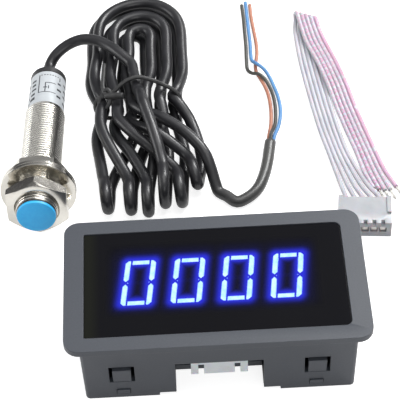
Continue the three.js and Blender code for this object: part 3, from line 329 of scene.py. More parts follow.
# The sensor lies on the rims of its rear washer and its end cap, so its axis tilts a little.
sensor_nose = np.array([-0.04841, 0.03467, 0.012006])
sensor_axis = np.array([0.0327855, 0.9935395, -0.1086482])
sensor_length = 0.0611
cable_entry = 0.0026


def along_sensor(distance):
    return sensor_nose + sensor_axis * distance


lead_points = [
    along_sensor(sensor_length - cable_entry),
    along_sensor(sensor_length),
    along_sensor(sensor_length + cable_diameter),
    (-0.0462, 0.1024, 0.0047),
    (-0.0443, 0.1054, 0.0062),
    (-0.0405, 0.1074, 0.0083),
    (-0.0360, 0.1079, 0.0099),
    (-0.0318, 0.1067, 0.0105),
    (-0.0280, 0.1042, 0.0105),
    (-0.0246, 0.1006, 0.0105),
    past(first_run[0], first_run[1], seam + cable_diameter),
]
tail_points = [
    past(last_run[-1], last_run[-2], seam + cable_diameter),
    (0.0116, 0.0470, rest_height),
    (0.0146, 0.0502, rest_height),
    (0.0168, 0.0554, rest_height),
    (0.0182, 0.0609, rest_height),
    (0.0189, 0.0649, rest_height),
    (0.0195, 0.0683, rest_height),
]
hank_line = settled(cable_line(hank_points(), hank_spacing, count=hank_steps))
sensor_cable_line = cable_line([*lead_points, *hank_line, *tail_points], cable_spacing)


# A finish starts from one shader, whose fixed values are set on its own sockets.
def plain_finish(name, colour, roughness, metallic=0.0, **sockets):
    finish = bpy.data.materials.new(name)
    finish.use_nodes = True
    shader = finish.node_tree.nodes["Principled BSDF"]
    shader.inputs["Base Color"].default_value = (*colour, 1)
    shader.inputs["Roughness"].default_value = roughness
    shader.inputs["Metallic"].default_value = metallic
    for socket, value in sockets.items():
        shader.inputs[socket.replace("_", " ")].default_value = value
    return finish


def shader_of(finish):
    return finish.node_tree.nodes["Principled BSDF"]


def connect(finish, source, target):
    finish.node_tree.links.new(source, target)


# Small helpers of every finish: a noise, a ramp of shades, a span of values, and a blend of two.
def mottle(finish, size, stretch=(1, 1, 1)):
    tree = finish.node_tree
    place = tree.nodes.new("ShaderNodeTexCoord").outputs["Object"]
    mapping = tree.nodes.new("ShaderNodeMapping")
    mapping.inputs["Scale"].default_value = stretch
    texture = tree.nodes.new("ShaderNodeTexNoise")
    texture.inputs["Scale"].default_value = 1 / size
    texture.inputs["Detail"].default_value = 3
    connect(finish, place, mapping.inputs["Vector"])
    connect(finish, mapping.outputs["Vector"], texture.inputs["Vector"])
    return texture.outputs["Fac"]


def shades(finish, value, *stops):
    node = finish.node_tree.nodes.new("ShaderNodeValToRGB")
    elements = node.color_ramp.elements
    while len(elements) < len(stops):
        elements.new(0.5)
    for element, (place, colour) in zip(elements, stops):
        element.position = place
        element.color = (*colour, 1)
    connect(finish, value, node.inputs["Fac"])
    return node.outputs["Color"]


def span(finish, value, low, high, bottom=0.0, top=1.0):
    node = finish.node_tree.nodes.new("ShaderNodeMapRange")
    node.inputs["From Min"].default_value = low
    node.inputs["From Max"].default_value = high
    node.inputs["To Min"].default_value = bottom
    node.inputs["To Max"].default_value = top
    connect(finish, value, node.inputs["Value"])
    return node.outputs["Result"]


def blend(finish, share, one, other):
    node = finish.node_tree.nodes.new("ShaderNodeMix")
    node.data_type = "RGBA"
    connect(finish, share, node.inputs["Factor"])
    for socket, colour in (("A", one), ("B", other)):
        if isinstance(colour, tuple):
            node.inputs[socket].default_value = (*colour, 1)
        else:
            connect(finish, colour, node.inputs[socket])
    return node.outputs["Result"]


# A moulded or drawn surface is never quite even: a fine noise varies its colour, gloss and height.
def give_grain(finish, size, colours, gloss, height, stretch=(1, 1, 1)):
    shader = shader_of(finish)
    value = mottle(finish, size, stretch)
    colour = shades(finish, value, (0.3, colours[0]), (0.7, colours[1]))
    connect(finish, colour, shader.inputs["Base Color"])
    connect(finish, span(finish, value, 0, 1, *gloss), shader.inputs["Roughness"])
    if height > 0:
        bump = finish.node_tree.nodes.new("ShaderNodeBump")
        bump.inputs["Distance"].default_value = height
        bump.inputs["Strength"].default_value = 1
        connect(finish, value, bump.inputs["Height"])
        connect(finish, bump.outputs["Normal"], shader.inputs["Normal"])
    return colour


# Where a point lies on its sheath, read from the sheath's UV map.
def way_round_and_along(finish):
    split = finish.node_tree.nodes.new("ShaderNodeSeparateXYZ")
    on_sheath = finish.node_tree.nodes.new("ShaderNodeUVMap").outputs["UV"]
    connect(finish, on_sheath, split.inputs["Vector"])
    return split.outputs["X"], split.outputs["Y"]


sheath_colours = ((0.010, 0.010, 0.012), (0.021, 0.021, 0.024))
tail_grey = (0.075, 0.075, 0.072)
tail_grey_from = 0.045
tail_grey_to = 0.008
sheath_black = plain_finish("sheath_black", sheath_colours[0], 0.4, Coat_Weight=0.15)
shader_of(sheath_black).inputs["Coat Roughness"].default_value = 0.25
sheath_colour = give_grain(sheath_black, 0.004, sheath_colours, (0.32, 0.46), 2e-5)
whole_length = cable_length(sensor_cable_line)
tail_greyed = span(
    sheath_black, way_round_and_along(sheath_black)[1],
    whole_length - tail_grey_from, whole_length - tail_grey_to)
connect(
    sheath_black, blend(sheath_black, tail_greyed, sheath_colour, tail_grey),
    shader_of(sheath_black).inputs["Base Color"])
cable = place_piece(
    "sensor_cable", sheath("sensor_cable", sensor_cable_line, cable_diameter, cable_sides))
cable.data.materials.append(sheath_black)
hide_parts("sensor_cable_lead", "sensor_cable_hank", "sensor_cable_tail")


# The tie: a soft black strap of PVC, once round the runs and the lead on top of them. It is
# knotted by hand on the left shoulder, with a loose loop under the knot, a flattened short end and
# one end that stands up.
strap_diameter = 0.0013
strap_sides = 14
strap_spacing = 0.0005
short_end_diameter = 0.0019
strap_points = [
    (-0.0285, 0.0828, 0.0098), (-0.0262, 0.0830, 0.0114), (-0.0243, 0.0843, 0.0127),
    (-0.0215, 0.0856, 0.0137), (-0.0187, 0.0860, 0.0141), (-0.0152, 0.0855, 0.0133),
    (-0.0117, 0.0852, 0.0114), (-0.0088, 0.0844, 0.0099), (-0.0067, 0.0832, 0.0078),
    (-0.0063, 0.0824, 0.0050), (-0.0067, 0.0823, 0.0025), (-0.0085, 0.0825, 0.0011),
    (-0.0125, 0.0825, 0.0007), (-0.0180, 0.0825, 0.0007), (-0.0235, 0.0823, 0.0007),
    (-0.0275, 0.0822, 0.0010), (-0.0306, 0.0822, 0.0020), (-0.0320, 0.0824, 0.0045),
    (-0.0319, 0.0826, 0.0074), (-0.0307, 0.0828, 0.0092), (-0.0285, 0.0828, 0.0098),
]
knot_points = [
    (-0.0290, 0.0836, 0.0102), (-0.0303, 0.0828, 0.0094), (-0.0308, 0.0812, 0.0082),
    (-0.0299, 0.0796, 0.0077), (-0.0284, 0.0797, 0.0084), (-0.0274, 0.0812, 0.0098),
    (-0.0272, 0.0826, 0.0112), (-0.0281, 0.0838, 0.0118), (-0.0292, 0.0835, 0.0112),
]
short_end_points = [
    (-0.0288, 0.0822, 0.0106), (-0.0262, 0.0813, 0.0115), (-0.0234, 0.0806, 0.0120),
]
standing_end_points = [
    (-0.0286, 0.0826, 0.0108), (-0.0294, 0.0850, 0.0112), (-0.0293, 0.0895, 0.0113),
    (-0.0290, 0.0952, 0.0110),
]
strap_black = plain_finish("strap_black", (0.03, 0.03, 0.03), 0.42)
give_grain(strap_black, 0.002, ((0.024, 0.024, 0.025), (0.042, 0.042, 0.042)), (0.4, 0.55), 2e-5)
for name, points, diameter in (
    ("tie_strap", strap_points, strap_diameter),
    ("tie_knot_loop", knot_points, strap_diameter),
    ("tie_short_end", short_end_points, short_end_diameter),
    ("tie_standing_end", standing_end_points, strap_diameter),
):
    line = cable_line(points, strap_spacing)
    piece = place_piece(name, sheath(name, line, diameter, strap_sides))
    piece.data.materials.append(strap_black)
    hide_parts("cable_tie")


# The stripped end: the sheath is cut back from three thin stranded cores, brown, blue and black,
# in PVC insulation. They lie on the table in one loose bunch and cross half way.
core_diameter = 0.0011
core_sides = 16
core_spacing = 0.0006
core_rest = 0.00063
core_lines = {
    "brown_wire": [
        (0.0189, 0.06875, 0.0012), (0.0193, 0.0715, 0.0009), (0.0202, 0.0760, core_rest),
        (0.0207, 0.0820, core_rest), (0.0205, 0.0880, core_rest), (0.0197, 0.0925, core_rest),
        (0.0184, 0.0964, core_rest), (0.0174, 0.0994, core_rest), (0.0174, 0.1024, core_rest),
        (0.0181, 0.1070, core_rest), (0.0182, 0.1120, core_rest), (0.0178, 0.1180, core_rest),
        (0.0174, 0.1240, core_rest), (0.0173, 0.1299, core_rest),
    ],
    "blue_wire": [
        (0.0204, 0.0684, 0.0015), (0.0210, 0.0714, 0.0011), (0.0226, 0.0760, core_rest),
        (0.0236, 0.0820, core_rest), (0.0233, 0.0880, core_rest), (0.0225, 0.0920, core_rest),
        (0.0213, 0.0964, 0.0009), (0.0198, 0.0992, 0.0017), (0.0178, 0.1013, 0.0021),
        (0.0164, 0.1036, 0.0013), (0.0162, 0.1074, core_rest), (0.0163, 0.1120, core_rest),
        (0.0162, 0.1180, core_rest), (0.0161, 0.1240, core_rest), (0.0160, 0.1312, core_rest),
    ],
    "black_wire": [
        (0.0196, 0.06855, 0.0025), (0.0200, 0.0716, 0.0020), (0.0214, 0.0760, 0.0008),
        (0.0221, 0.0820, core_rest), (0.0219, 0.0880, core_rest), (0.0211, 0.0922, core_rest),
        (0.0196, 0.0954, 0.0015), (0.0179, 0.0969, 0.0021), (0.0160, 0.0980, 0.0014),
        (0.0148, 0.1004, core_rest), (0.0147, 0.1050, core_rest), (0.0149, 0.1110, core_rest),
        (0.0149, 0.1180, core_rest), (0.0149, 0.1240, core_rest), (0.0147, 0.1300, core_rest),
    ],
}
core_colours = {
    "brown_wire": ((0.42, 0.17, 0.11), (0.52, 0.23, 0.15)),
    "blue_wire": ((0.09, 0.25, 0.52), (0.13, 0.32, 0.62)),
    "black_wire": ((0.05, 0.05, 0.045), (0.085, 0.085, 0.075)),
}
for name, points in core_lines.items():
    line = cable_line(points, core_spacing)
    insulation = plain_finish(name + "_pvc", core_colours[name][0], 0.45)
    give_grain(insulation, 0.003, core_colours[name], (0.38, 0.55), 1e-5)
    core = place_piece(name + "_insulation", sheath(name, line, core_diameter, core_sides))
    core.data.materials.append(insulation)
    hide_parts(name)


# The plug: a white nylon housing, moulded in one piece, a little clear where it is thin. Five
# crimped terminals of tinned bronze are pushed into it from the rear, one on each wire.
plug_ways = 5
softened_from = math.radians(35)
flat_within = math.radians(0.5)
joined_within = 0.000001


# A moulding's edges are never quite sharp. The solid is copied, its loose triangles are joined into
# whole faces, and its edges are broken.
def soften(name, node, edge, finish, body="tachometer_set"):
    faces = bmesh.new()
    faces.from_mesh(nodes[node].data)
    bmesh.ops.remove_doubles(faces, verts=faces.verts, dist=joined_within)
    bmesh.ops.dissolve_limit(
        faces, angle_limit=flat_within, verts=faces.verts, edges=faces.edges)
    mesh = bpy.data.meshes.new(name)
    faces.to_mesh(mesh)
    faces.free()
    mesh.materials.clear()
    mesh.materials.append(finish)
    mesh.shade_smooth()
    mesh.set_sharp_from_angle(angle=softened_from)
    moulding = place_piece(name, mesh, body)
    bevel = moulding.modifiers.new("broken_edges", "BEVEL")
    bevel.width = edge
    bevel.segments = 2
    bevel.limit_method = "ANGLE"
    bevel.angle_limit = softened_from
    bevel.harden_normals = True
    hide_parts(node)
    return moulding


# A solid that is right as it is keeps its shape and gets a finish.
def dress(node, finish):
    for slot in nodes[node].material_slots:
        slot.material = finish


plug_edge = 0.0002
nylon_colours = ((0.35, 0.36, 0.385), (0.41, 0.42, 0.445))
nylon = plain_finish(
    "nylon", nylon_colours[0], 0.35, Subsurface_Weight=0.35, Subsurface_Scale=0.0012)
give_grain(nylon, 0.004, nylon_colours, (0.3, 0.42), 0)
plug = soften("plug_moulding", "plug_housing", plug_edge, nylon)
tin = plain_finish("tin", (0.62, 0.60, 0.56), 0.35, metallic=1)
give_grain(tin, 0.0012, ((0.56, 0.55, 0.52), (0.74, 0.72, 0.69)), (0.25, 0.5), 1e-5)
for way in range(plug_ways):
    dress(f"plug_terminal_{way + 1}", tin)


# The harness: five clear PVC wires, bonded side by side as a flat ribbon. It leaves the white
# plug, folds flat over itself and comes back beside it. The plain side faces up on the way out,
# and the printed side on the way back.
plug_rear = Vector((0.0445, 0.0414, 0.0))
plug_yaw = math.radians(-5)
plug_height = 0.00575
way_pitch = 0.0025
wire_depth = 0.0016
wire_diameter = 0.0012
wire_sides = 20
wire_spacing = 0.0006
wire_rest = 0.00074
fold_pitch = 0.0014
fold_x, fold_y = 0.0342, 0.12165
fold_slope_share = 0.47

# The runs' rows hold the middle wire's place and the pitch of the wires there. The fold's rows are
# measured from the fold's place, from its tip, and up from where the wires rest.
plain_run = [
    (0.0426, 0.0496, 0.00156, 0.0019),
    (0.0410, 0.0566, wire_rest, 0.0016),
    (0.0392, 0.0640, wire_rest, 0.00136),
    (0.0377, 0.0720, wire_rest, 0.00136),
    (0.0364, 0.0814, wire_rest, 0.00136),
    (0.0352, 0.0917, wire_rest, 0.00136),
    (0.0342, 0.1019, wire_rest, 0.00136),
    (0.0337, 0.1110, wire_rest, 0.00136),
]
fold_rows = [
    (-0.0005, -0.006, 0.0),
    (0.0, -0.0015, 0.0003),
    (0.0, 0.0, 0.0015),
    (0.0004, -0.0015, 0.003),
    (0.0012, -0.006, 0.00225),
]
printed_run = [
    (0.0366, 0.1100, 0.00236, 0.0014),
    (0.0394, 0.1001, 0.00226, 0.00136),
    (0.0416, 0.0904, 0.00216, 0.00136),
    (0.0434, 0.0820, 0.00091, 0.00136),
    (0.0454, 0.0725, wire_rest, 0.00138),
    (0.0474, 0.0634, wire_rest, 0.00138),
    (0.0491, 0.0556, wire_rest, 0.0015),
]
printed_ends = [
    (0.0481, 0.0486, wire_rest),
    (0.0497, 0.0480, wire_rest),
    (0.0513, 0.0476, wire_rest),
    (0.0529, 0.0478, wire_rest),
    (0.0547, 0.0489, wire_rest),
]


# A place in the plug, across and along it, at half its height.
def in_plug(x, y):
    return (
        plug_rear.x + x * math.cos(plug_yaw) - y * math.sin(plug_yaw),
        plug_rear.y + x * math.sin(plug_yaw) + y * math.cos(plug_yaw),
        plug_height / 2,
    )


# Each wire keeps its place beside the middle one, from the plug over the fold to its bare end.
def ribbon_points(index):
    place = index - plug_ways // 2
    across = place * fold_pitch
    x = fold_x + across
    tip = fold_y - across * fold_slope_share
    return [
        in_plug(place * way_pitch, -wire_depth),
        in_plug(place * way_pitch, 0),
        in_plug(place * way_pitch, wire_diameter),
        *[(row_x + place * gap, y, z) for row_x, y, z, gap in plain_run],
        *[(x + beside, tip + beyond, wire_rest + rise) for beside, beyond, rise in fold_rows],
        *[(row_x + place * gap, y, z) for row_x, y, z, gap in printed_run],
        printed_ends[index],
    ]


# One sum of a finish, with numbers or other sums in it.
def work_out(finish, operation, *values, clamp=False):
    node = finish.node_tree.nodes.new("ShaderNodeMath")
    node.operation = operation
    node.use_clamp = clamp
    for slot, value in enumerate(values):
        if isinstance(value, (int, float)):
            node.inputs[slot].default_value = value
        else:
            connect(finish, value, node.inputs[slot])
    return node.outputs[0]


# The print is on one side only: a cross on each of four wires at every pitch, strongest on the
# second wire, and a worn solid line on the last one.
ribbon_skin = 0.00134
ribbon_colours = ((0.50, 0.495, 0.55), (0.58, 0.575, 0.625))
print_pitch = 0.0027
print_length_share = 0.34
print_arm_share = 0.46
print_pink = (0.60, 0.33, 0.48)
print_strength_shares = [0.55, 1.0, 0.65, 0.6, 0.8]
print_side_share = 0.1
worn_size = 0.004
worn_share = 0.34


def ribbon_finish(index):
    finish = plain_finish(
        f"ribbon_clear_{index + 1}", ribbon_colours[0], 0.32,
        Subsurface_Weight=0.25, Subsurface_Scale=0.0008,
    )
    clear = give_grain(finish, 0.005, ribbon_colours, (0.26, 0.4), 0)
    round_share, along = way_round_and_along(finish)
    angle = work_out(finish, "MULTIPLY", round_share, 2 * math.pi)
    facing = work_out(finish, "COSINE", angle)
    printed_side = work_out(finish, "LESS_THAN", facing, print_side_share)
    if index < plug_ways - 1:
        across = work_out(finish, "ABSOLUTE", work_out(finish, "SINE", angle))
        shifted = work_out(finish, "ADD", along, print_pitch * (1 + index % 2 / 2))
        placed = work_out(finish, "WRAP", shifted, print_pitch / 2, -print_pitch / 2)
        half_length = print_pitch * print_length_share
        reach = work_out(finish, "ABSOLUTE", work_out(finish, "DIVIDE", placed, half_length))
        arms = work_out(finish, "ABSOLUTE", work_out(finish, "SUBTRACT", across, reach))
        mark = work_out(
            finish, "MULTIPLY", work_out(finish, "LESS_THAN", arms, print_arm_share),
            work_out(finish, "LESS_THAN", reach, 1.0))
    else:
        mark = work_out(finish, "GREATER_THAN", mottle(finish, worn_size), worn_share)
    strength = print_strength_shares[index]
    share = work_out(finish, "MULTIPLY", work_out(finish, "MULTIPLY", mark, printed_side), strength)
    connect(finish, blend(finish, share, clear, print_pink), shader_of(finish).inputs["Base Color"])
    return finish


# The bare ends: on each wire seven fine tinned copper strands, six laid round one, stick out of
# the cut insulation. They keep their lay near the cut and open a little at the tip.
strands_round = 6
strand_sides = 8
strand_diameter = 0.00022
strand_lay_radius = 0.00023
strand_lay_turn = math.radians(60)
strand_spread = 0.4
strand_stray = 0.00018
bare_length = 0.0036
bare_steps = 8
last_stretch = 3
first_seed = 3


# A tree of geometry nodes with its named sizes as inputs. It takes a mesh in and gives one out.
def open_tree(name, sizes):
    tree = bpy.data.node_groups.new(name, "GeometryNodeTree")
    tree.interface.new_socket("Geometry", in_out="INPUT", socket_type="NodeSocketGeometry")
    for size, value in sizes.items():
        kind = "NodeSocketInt" if isinstance(value, int) else "NodeSocketFloat"
        tree.interface.new_socket(size, in_out="INPUT", socket_type=kind)
    tree.interface.new_socket("Finish", in_out="INPUT", socket_type="NodeSocketMaterial")
    tree.interface.new_socket("Geometry", in_out="OUTPUT", socket_type="NodeSocketGeometry")
    return tree, tree.nodes.new("NodeGroupInput").outputs


# One node of a tree, with a value or another node's output on each named or numbered input.
def step(tree, kind, *values, settings=None, **inputs):
    node = tree.nodes.new(kind)
    for setting, value in (settings or {}).items():
        setattr(node, setting, value)
    fed = list(enumerate(values))
    fed += [(name.replace("_", " "), value) for name, value in inputs.items()]
    for socket, value in fed:
        if isinstance(value, bpy.types.NodeSocket):
            tree.links.new(value, node.inputs[socket])
        else:
            node.inputs[socket].default_value = value
    return node.outputs[0]


def reckon(tree, operation, *values):
    return step(tree, "ShaderNodeMath", *values, settings={"operation": operation})


# The last two steps of every tree, and then the plain mesh that it gives for one set of sizes.
def close_tree(tree, geometry, given):
    whole = step(tree, "GeometryNodeRealizeInstances", geometry)
    finished = step(tree, "GeometryNodeSetMaterial", whole, Material=given["Finish"])
    tree.links.new(finished, tree.nodes.new("NodeGroupOutput").inputs[0])


def made_by(tree, start, sizes, finish):
    carrier = bpy.data.objects.new(tree.name, start)
    bpy.context.collection.objects.link(carrier)
    modifier = carrier.modifiers.new(tree.name, "NODES")
    modifier.node_group = tree
    for socket in tree.interface.items_tree:
        if socket.in_out == "INPUT" and socket.name in sizes:
            modifier[socket.identifier] = sizes[socket.name]
        if socket.in_out == "INPUT" and socket.name == "Finish":
            modifier[socket.identifier] = finish
    evaluated = carrier.evaluated_get(bpy.context.evaluated_depsgraph_get())
    mesh = bpy.data.meshes.new_from_object(evaluated)
    bpy.data.objects.remove(carrier)
    mesh.materials.clear()
    mesh.materials.append(finish)
    return mesh


# Seven copies of one line: six turn round the last one, and they open and stray towards the tip.
def strands_tree(sizes):
    tree, given = open_tree("bare_strands", sizes)
    line = step(tree, "GeometryNodeMeshToCurve", given["Geometry"])
    upright_line = step(
        tree, "GeometryNodeSetCurveNormal", line, settings={"mode": "Z_UP"})
    copies = tree.nodes.new("GeometryNodeDuplicateElements")
    copies.domain = "SPLINE"
    copies.inputs["Amount"].default_value = strands_round + 1
    tree.links.new(upright_line, copies.inputs["Geometry"])
    strand = copies.outputs["Duplicate Index"]
    way = step(tree, "GeometryNodeSplineParameter")
    opened = reckon(tree, "MULTIPLY", way, way)
    angle = reckon(
        tree, "ADD", reckon(tree, "MULTIPLY", strand, 2 * math.pi / strands_round),
        reckon(tree, "MULTIPLY", way, given["Lay Turn"]))
    outer = reckon(tree, "LESS_THAN", strand, strands_round - 0.5)
    wider = reckon(tree, "ADD", reckon(tree, "MULTIPLY", opened, given["Spread"]), 1.0)
    radius = reckon(
        tree, "MULTIPLY", reckon(tree, "MULTIPLY", given["Lay Radius"], outer), wider)
    normal = step(tree, "GeometryNodeInputNormal")
    tangent = step(tree, "GeometryNodeInputTangent")
    beside = step(
        tree, "ShaderNodeVectorMath", tangent, normal, settings={"operation": "CROSS_PRODUCT"})
    raised = step(
        tree, "ShaderNodeVectorMath", normal, settings={"operation": "SCALE"},
        Scale=reckon(tree, "MULTIPLY", radius, reckon(tree, "COSINE", angle)))
    shifted = step(
        tree, "ShaderNodeVectorMath", beside, settings={"operation": "SCALE"},
        Scale=reckon(tree, "MULTIPLY", radius, reckon(tree, "SINE", angle)))
    stray = step(
        tree, "FunctionNodeRandomValue", (-1, -1, 0), (1, 1, 1),
        settings={"data_type": "FLOAT_VECTOR"}, ID=strand, Seed=given["Seed"])
    strayed = step(
        tree, "ShaderNodeVectorMath", stray, settings={"operation": "SCALE"},
        Scale=reckon(tree, "MULTIPLY", opened, given["Stray"]))
    laid = step(
        tree, "ShaderNodeVectorMath", raised, shifted, settings={"operation": "ADD"})
    offset = step(tree, "ShaderNodeVectorMath", laid, strayed, settings={"operation": "ADD"})
    lines = step(
        tree, "GeometryNodeSetPosition", copies.outputs["Geometry"], Offset=offset)
    profile = step(
        tree, "GeometryNodeCurvePrimitiveCircle", Resolution=strand_sides,
        Radius=reckon(tree, "MULTIPLY", given["Strand Diameter"], 0.5))
    strands = step(
        tree, "GeometryNodeCurveToMesh", Curve=lines, Profile_Curve=profile, Fill_Caps=True)
    close_tree(tree, strands, given)
    return tree


strand_sizes = {
    "Strand Diameter": strand_diameter, "Lay Radius": strand_lay_radius,
    "Lay Turn": strand_lay_turn, "Spread": strand_spread, "Stray": strand_stray, "Seed": 0,
}
bare_strands = strands_tree(strand_sizes)


# The strands go on level in the direction of their wire's last stretch.
def bare_end(index, line):
    end = np.array(printed_ends[index])
    heading = end - line[-1 - last_stretch]
    heading[2] = 0
    heading /= np.linalg.norm(heading)
    bare_line = [end + heading * bare_length * share for share in np.linspace(0, 1, bare_steps)]
    start = bpy.data.meshes.new("bare_line")
    start.from_pydata(
        [tuple(map(float, point)) for point in bare_line],
        [(place, place + 1) for place in range(bare_steps - 1)], [])
    strands = made_by(bare_strands, start, {**strand_sizes, "Seed": first_seed + index}, tin)
    bare = place_piece(f"bare_strands_{index + 1}", strands)
    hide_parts(f"tinned_wire_end_{index + 1}")
    return bare


# The ribbon is put together: each wire runs from its terminal to its strands at the other end,
# which are made here.
for index in range(plug_ways):
    line = cable_line(ribbon_points(index), wire_spacing)
    insulation = sheath("ribbon_wire", line, ribbon_skin, wire_sides)
    wire = place_piece(f"ribbon_wire_{index + 1}", insulation)
    wire.data.materials.append(ribbon_finish(index))
    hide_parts(f"harness_wire_{index + 1}")
    ([nodes[f"plug_terminal_{index + 1}"], bare_end(index, line)]
        + ([plug] if index == 0 else []))


# The case: slate grey ABS, moulded with a fine spark-eroded grain and softly broken edges. The
# rear cover snaps in behind, and four sprung clips in the upper and lower walls hold the panel.
case_edge = 0.0003
clip_edge = 0.00015
case_colours = ((0.060, 0.066, 0.079), (0.069, 0.076, 0.090))
case_grey = plain_finish("case_grey", case_colours[0], 0.42, Specular_IOR_Level=0.4)
give_grain(case_grey, 0.0005, case_colours, (0.37, 0.45), 6e-6)
soften("case_moulding", "case_shell", case_edge, case_grey)
soften("cover_moulding", "rear_cover", case_edge, case_grey)
for place in ("lower_left", "lower_right", "upper_left", "upper_right"):
    soften(
        f"clip_{place}_moulding", f"panel_clip_{place}", clip_edge, case_grey,
        f"clip_{place}")


# The display: a black plastic housing, cast in one piece, with a pocket for each of its four
# digits. It stands on the circuit board and reaches up to the window.
digit_count = 4
housing_black = plain_finish("housing_black", (0.010, 0.010, 0.012), 0.6)
give_grain(housing_black, 0.001, ((0.008, 0.008, 0.010), (0.013, 0.013, 0.015)), (0.5, 0.7), 1e-5)
dress("display_housing", housing_black)


# The light guides: milky acrylic, one block of seven segments and a point for each digit, set in
# the housing. Every digit shows a zero: a slanted rectangle of six lit segments, blue at the edges
# and near white within. The middle bar and the point aren't lit; they get a faint painted blue
# glow.
digit_pitch = 0.013
digit_middle_x = -0.02
digit_middle_y = 0.0012
digit_half_width = 0.0041
digit_half_height = 0.00745
digit_stroke = 0.0015
digit_lean = math.tan(math.radians(7))
segment_light = 22.0
edge_width = 0.00028
lit_edge = (0.16, 0.32, 1.0)
lit_middles = ((0.46, 0.84, 1.0), (0.70, 0.97, 1.0))
glow_blue = (0.026, 0.036, 0.92)
bar_half = (0.0027, 0.00076)
point_from = 0.0043
# The faint painted glow of the unlit bar and point.
caught_light = 0.3


# Where a point lies on the part, along each of its axes.
def place_on(finish):
    split = finish.node_tree.nodes.new("ShaderNodeSeparateXYZ")
    connect(
        finish, finish.node_tree.nodes.new("ShaderNodeTexCoord").outputs["Object"],
        split.inputs["Vector"])
    return split.outputs["X"], split.outputs["Y"], split.outputs["Z"]


# Where a point lies within its digit, with the slant taken out.
def zero_places(finish):
    x, y = place_on(finish)[:2]
    y = work_out(finish, "SUBTRACT", y, digit_middle_y)
    level_x = work_out(finish, "SUBTRACT", x, work_out(finish, "MULTIPLY", y, digit_lean))
    placed = work_out(finish, "SUBTRACT", level_x, digit_middle_x)
    nearest = work_out(finish, "ROUND", work_out(finish, "DIVIDE", placed, digit_pitch))
    nearest = work_out(finish, "MAXIMUM", nearest, 0.0)
    nearest = work_out(finish, "MINIMUM", nearest, digit_count - 1)
    from_nearest = work_out(
        finish, "SUBTRACT", placed, work_out(finish, "MULTIPLY", nearest, digit_pitch))
    return from_nearest, y


# The distance to the edge of the zero's strokes, negative within them.
def stroke_distance(finish, x, y):
    half = digit_stroke / 2
    over_x = work_out(
        finish, "SUBTRACT", work_out(finish, "ABSOLUTE", x), digit_half_width - half)
    over_y = work_out(
        finish, "SUBTRACT", work_out(finish, "ABSOLUTE", y), digit_half_height - half)
    inside = work_out(finish, "MINIMUM", work_out(finish, "MAXIMUM", over_x, over_y), 0.0)
    out_x = work_out(finish, "MAXIMUM", over_x, 0.0)
    out_y = work_out(finish, "MAXIMUM", over_y, 0.0)
    squares = work_out(
        finish, "ADD", work_out(finish, "MULTIPLY", out_x, out_x),
        work_out(finish, "MULTIPLY", out_y, out_y))
    outside = work_out(finish, "SQRT", squares)
    ring = work_out(finish, "ABSOLUTE", work_out(finish, "ADD", inside, outside))
    return work_out(finish, "SUBTRACT", ring, half)


guide_milky = plain_finish("guide_milky", (0.035, 0.04, 0.045), 0.4)
give_grain(guide_milky, 0.0016, ((0.03, 0.035, 0.04), (0.05, 0.055, 0.065)), (0.35, 0.5), 0)
zero_x, zero_y = zero_places(guide_milky)
inner_share = work_out(
    guide_milky, "DIVIDE", stroke_distance(guide_milky, zero_x, zero_y), -edge_width,
    clamp=True)
inner_light = shades(
    guide_milky, mottle(guide_milky, 0.0016), (0.35, lit_middles[0]), (0.65, lit_middles[1]))
lit_colour = blend(guide_milky, inner_share, lit_edge, inner_light)
in_bar = work_out(
    guide_milky, "MULTIPLY",
    work_out(guide_milky, "LESS_THAN", work_out(guide_milky, "ABSOLUTE", zero_x), bar_half[0]),
    work_out(guide_milky, "LESS_THAN", work_out(guide_milky, "ABSOLUTE", zero_y), bar_half[1]))
in_point = work_out(guide_milky, "GREATER_THAN", zero_x, point_from)
unlit = work_out(guide_milky, "MAXIMUM", in_bar, in_point)
connect(
    guide_milky, blend(guide_milky, unlit, lit_colour, glow_blue),
    shader_of(guide_milky).inputs["Emission Color"])
connect(
    guide_milky, span(guide_milky, unlit, 0, 1, segment_light, caught_light),
    shader_of(guide_milky).inputs["Emission Strength"])
for digit in range(digit_count):
    dress(f"digit_light_guide_{digit + 1}", guide_milky)


# The window: a smoked acrylic pane, nearly black, pushed into the bezel from the front. It is
# backed with black but for the stretch over the display, and its left edge has an olive tint.
pane_edge = 0.0001
pane_gloss_from = 0.06
pane_gloss_to = 0.2
pane_body = (0.0055, 0.0055, 0.0072)
pane_tint = (0.0105, 0.0112, 0.0085)
tint_from = -0.0300
tint_to = -0.0328
sight_middle = (-0.0005, 0.0012)
front_sight = (0.0285, 0.0125)
front_fade = 0.0025
rear_sight = (0.0260, 0.0092)
rear_fade = 0.0011
sight_clearness = 0.22
pane_middle_z = 0.0231
pane_smoke = plain_finish("pane_smoke", pane_body, 0.12, Specular_IOR_Level=0.12)
wiped = mottle(pane_smoke, 0.02, (1, 0.35, 1))
pane_gloss = span(pane_smoke, wiped, 0, 1, pane_gloss_from, pane_gloss_to)
connect(pane_smoke, pane_gloss, shader_of(pane_smoke).inputs["Roughness"])
pane_x, pane_y, pane_z = place_on(pane_smoke)
on_rear = work_out(pane_smoke, "LESS_THAN", pane_z, pane_middle_z)


# The clear stretch is a rectangle round the digits that fades out at its edges. On the front it is
# wide and soft, so that its edges don't show.
def sight(half_sizes, fade):
    shares = []
    for place, middle, half in zip((pane_x, pane_y), sight_middle, half_sizes):
        beside = work_out(pane_smoke, "ABSOLUTE", work_out(pane_smoke, "SUBTRACT", place, middle))
        shares.append(span(pane_smoke, beside, half, half - fade))
    return work_out(pane_smoke, "MULTIPLY", *shares)


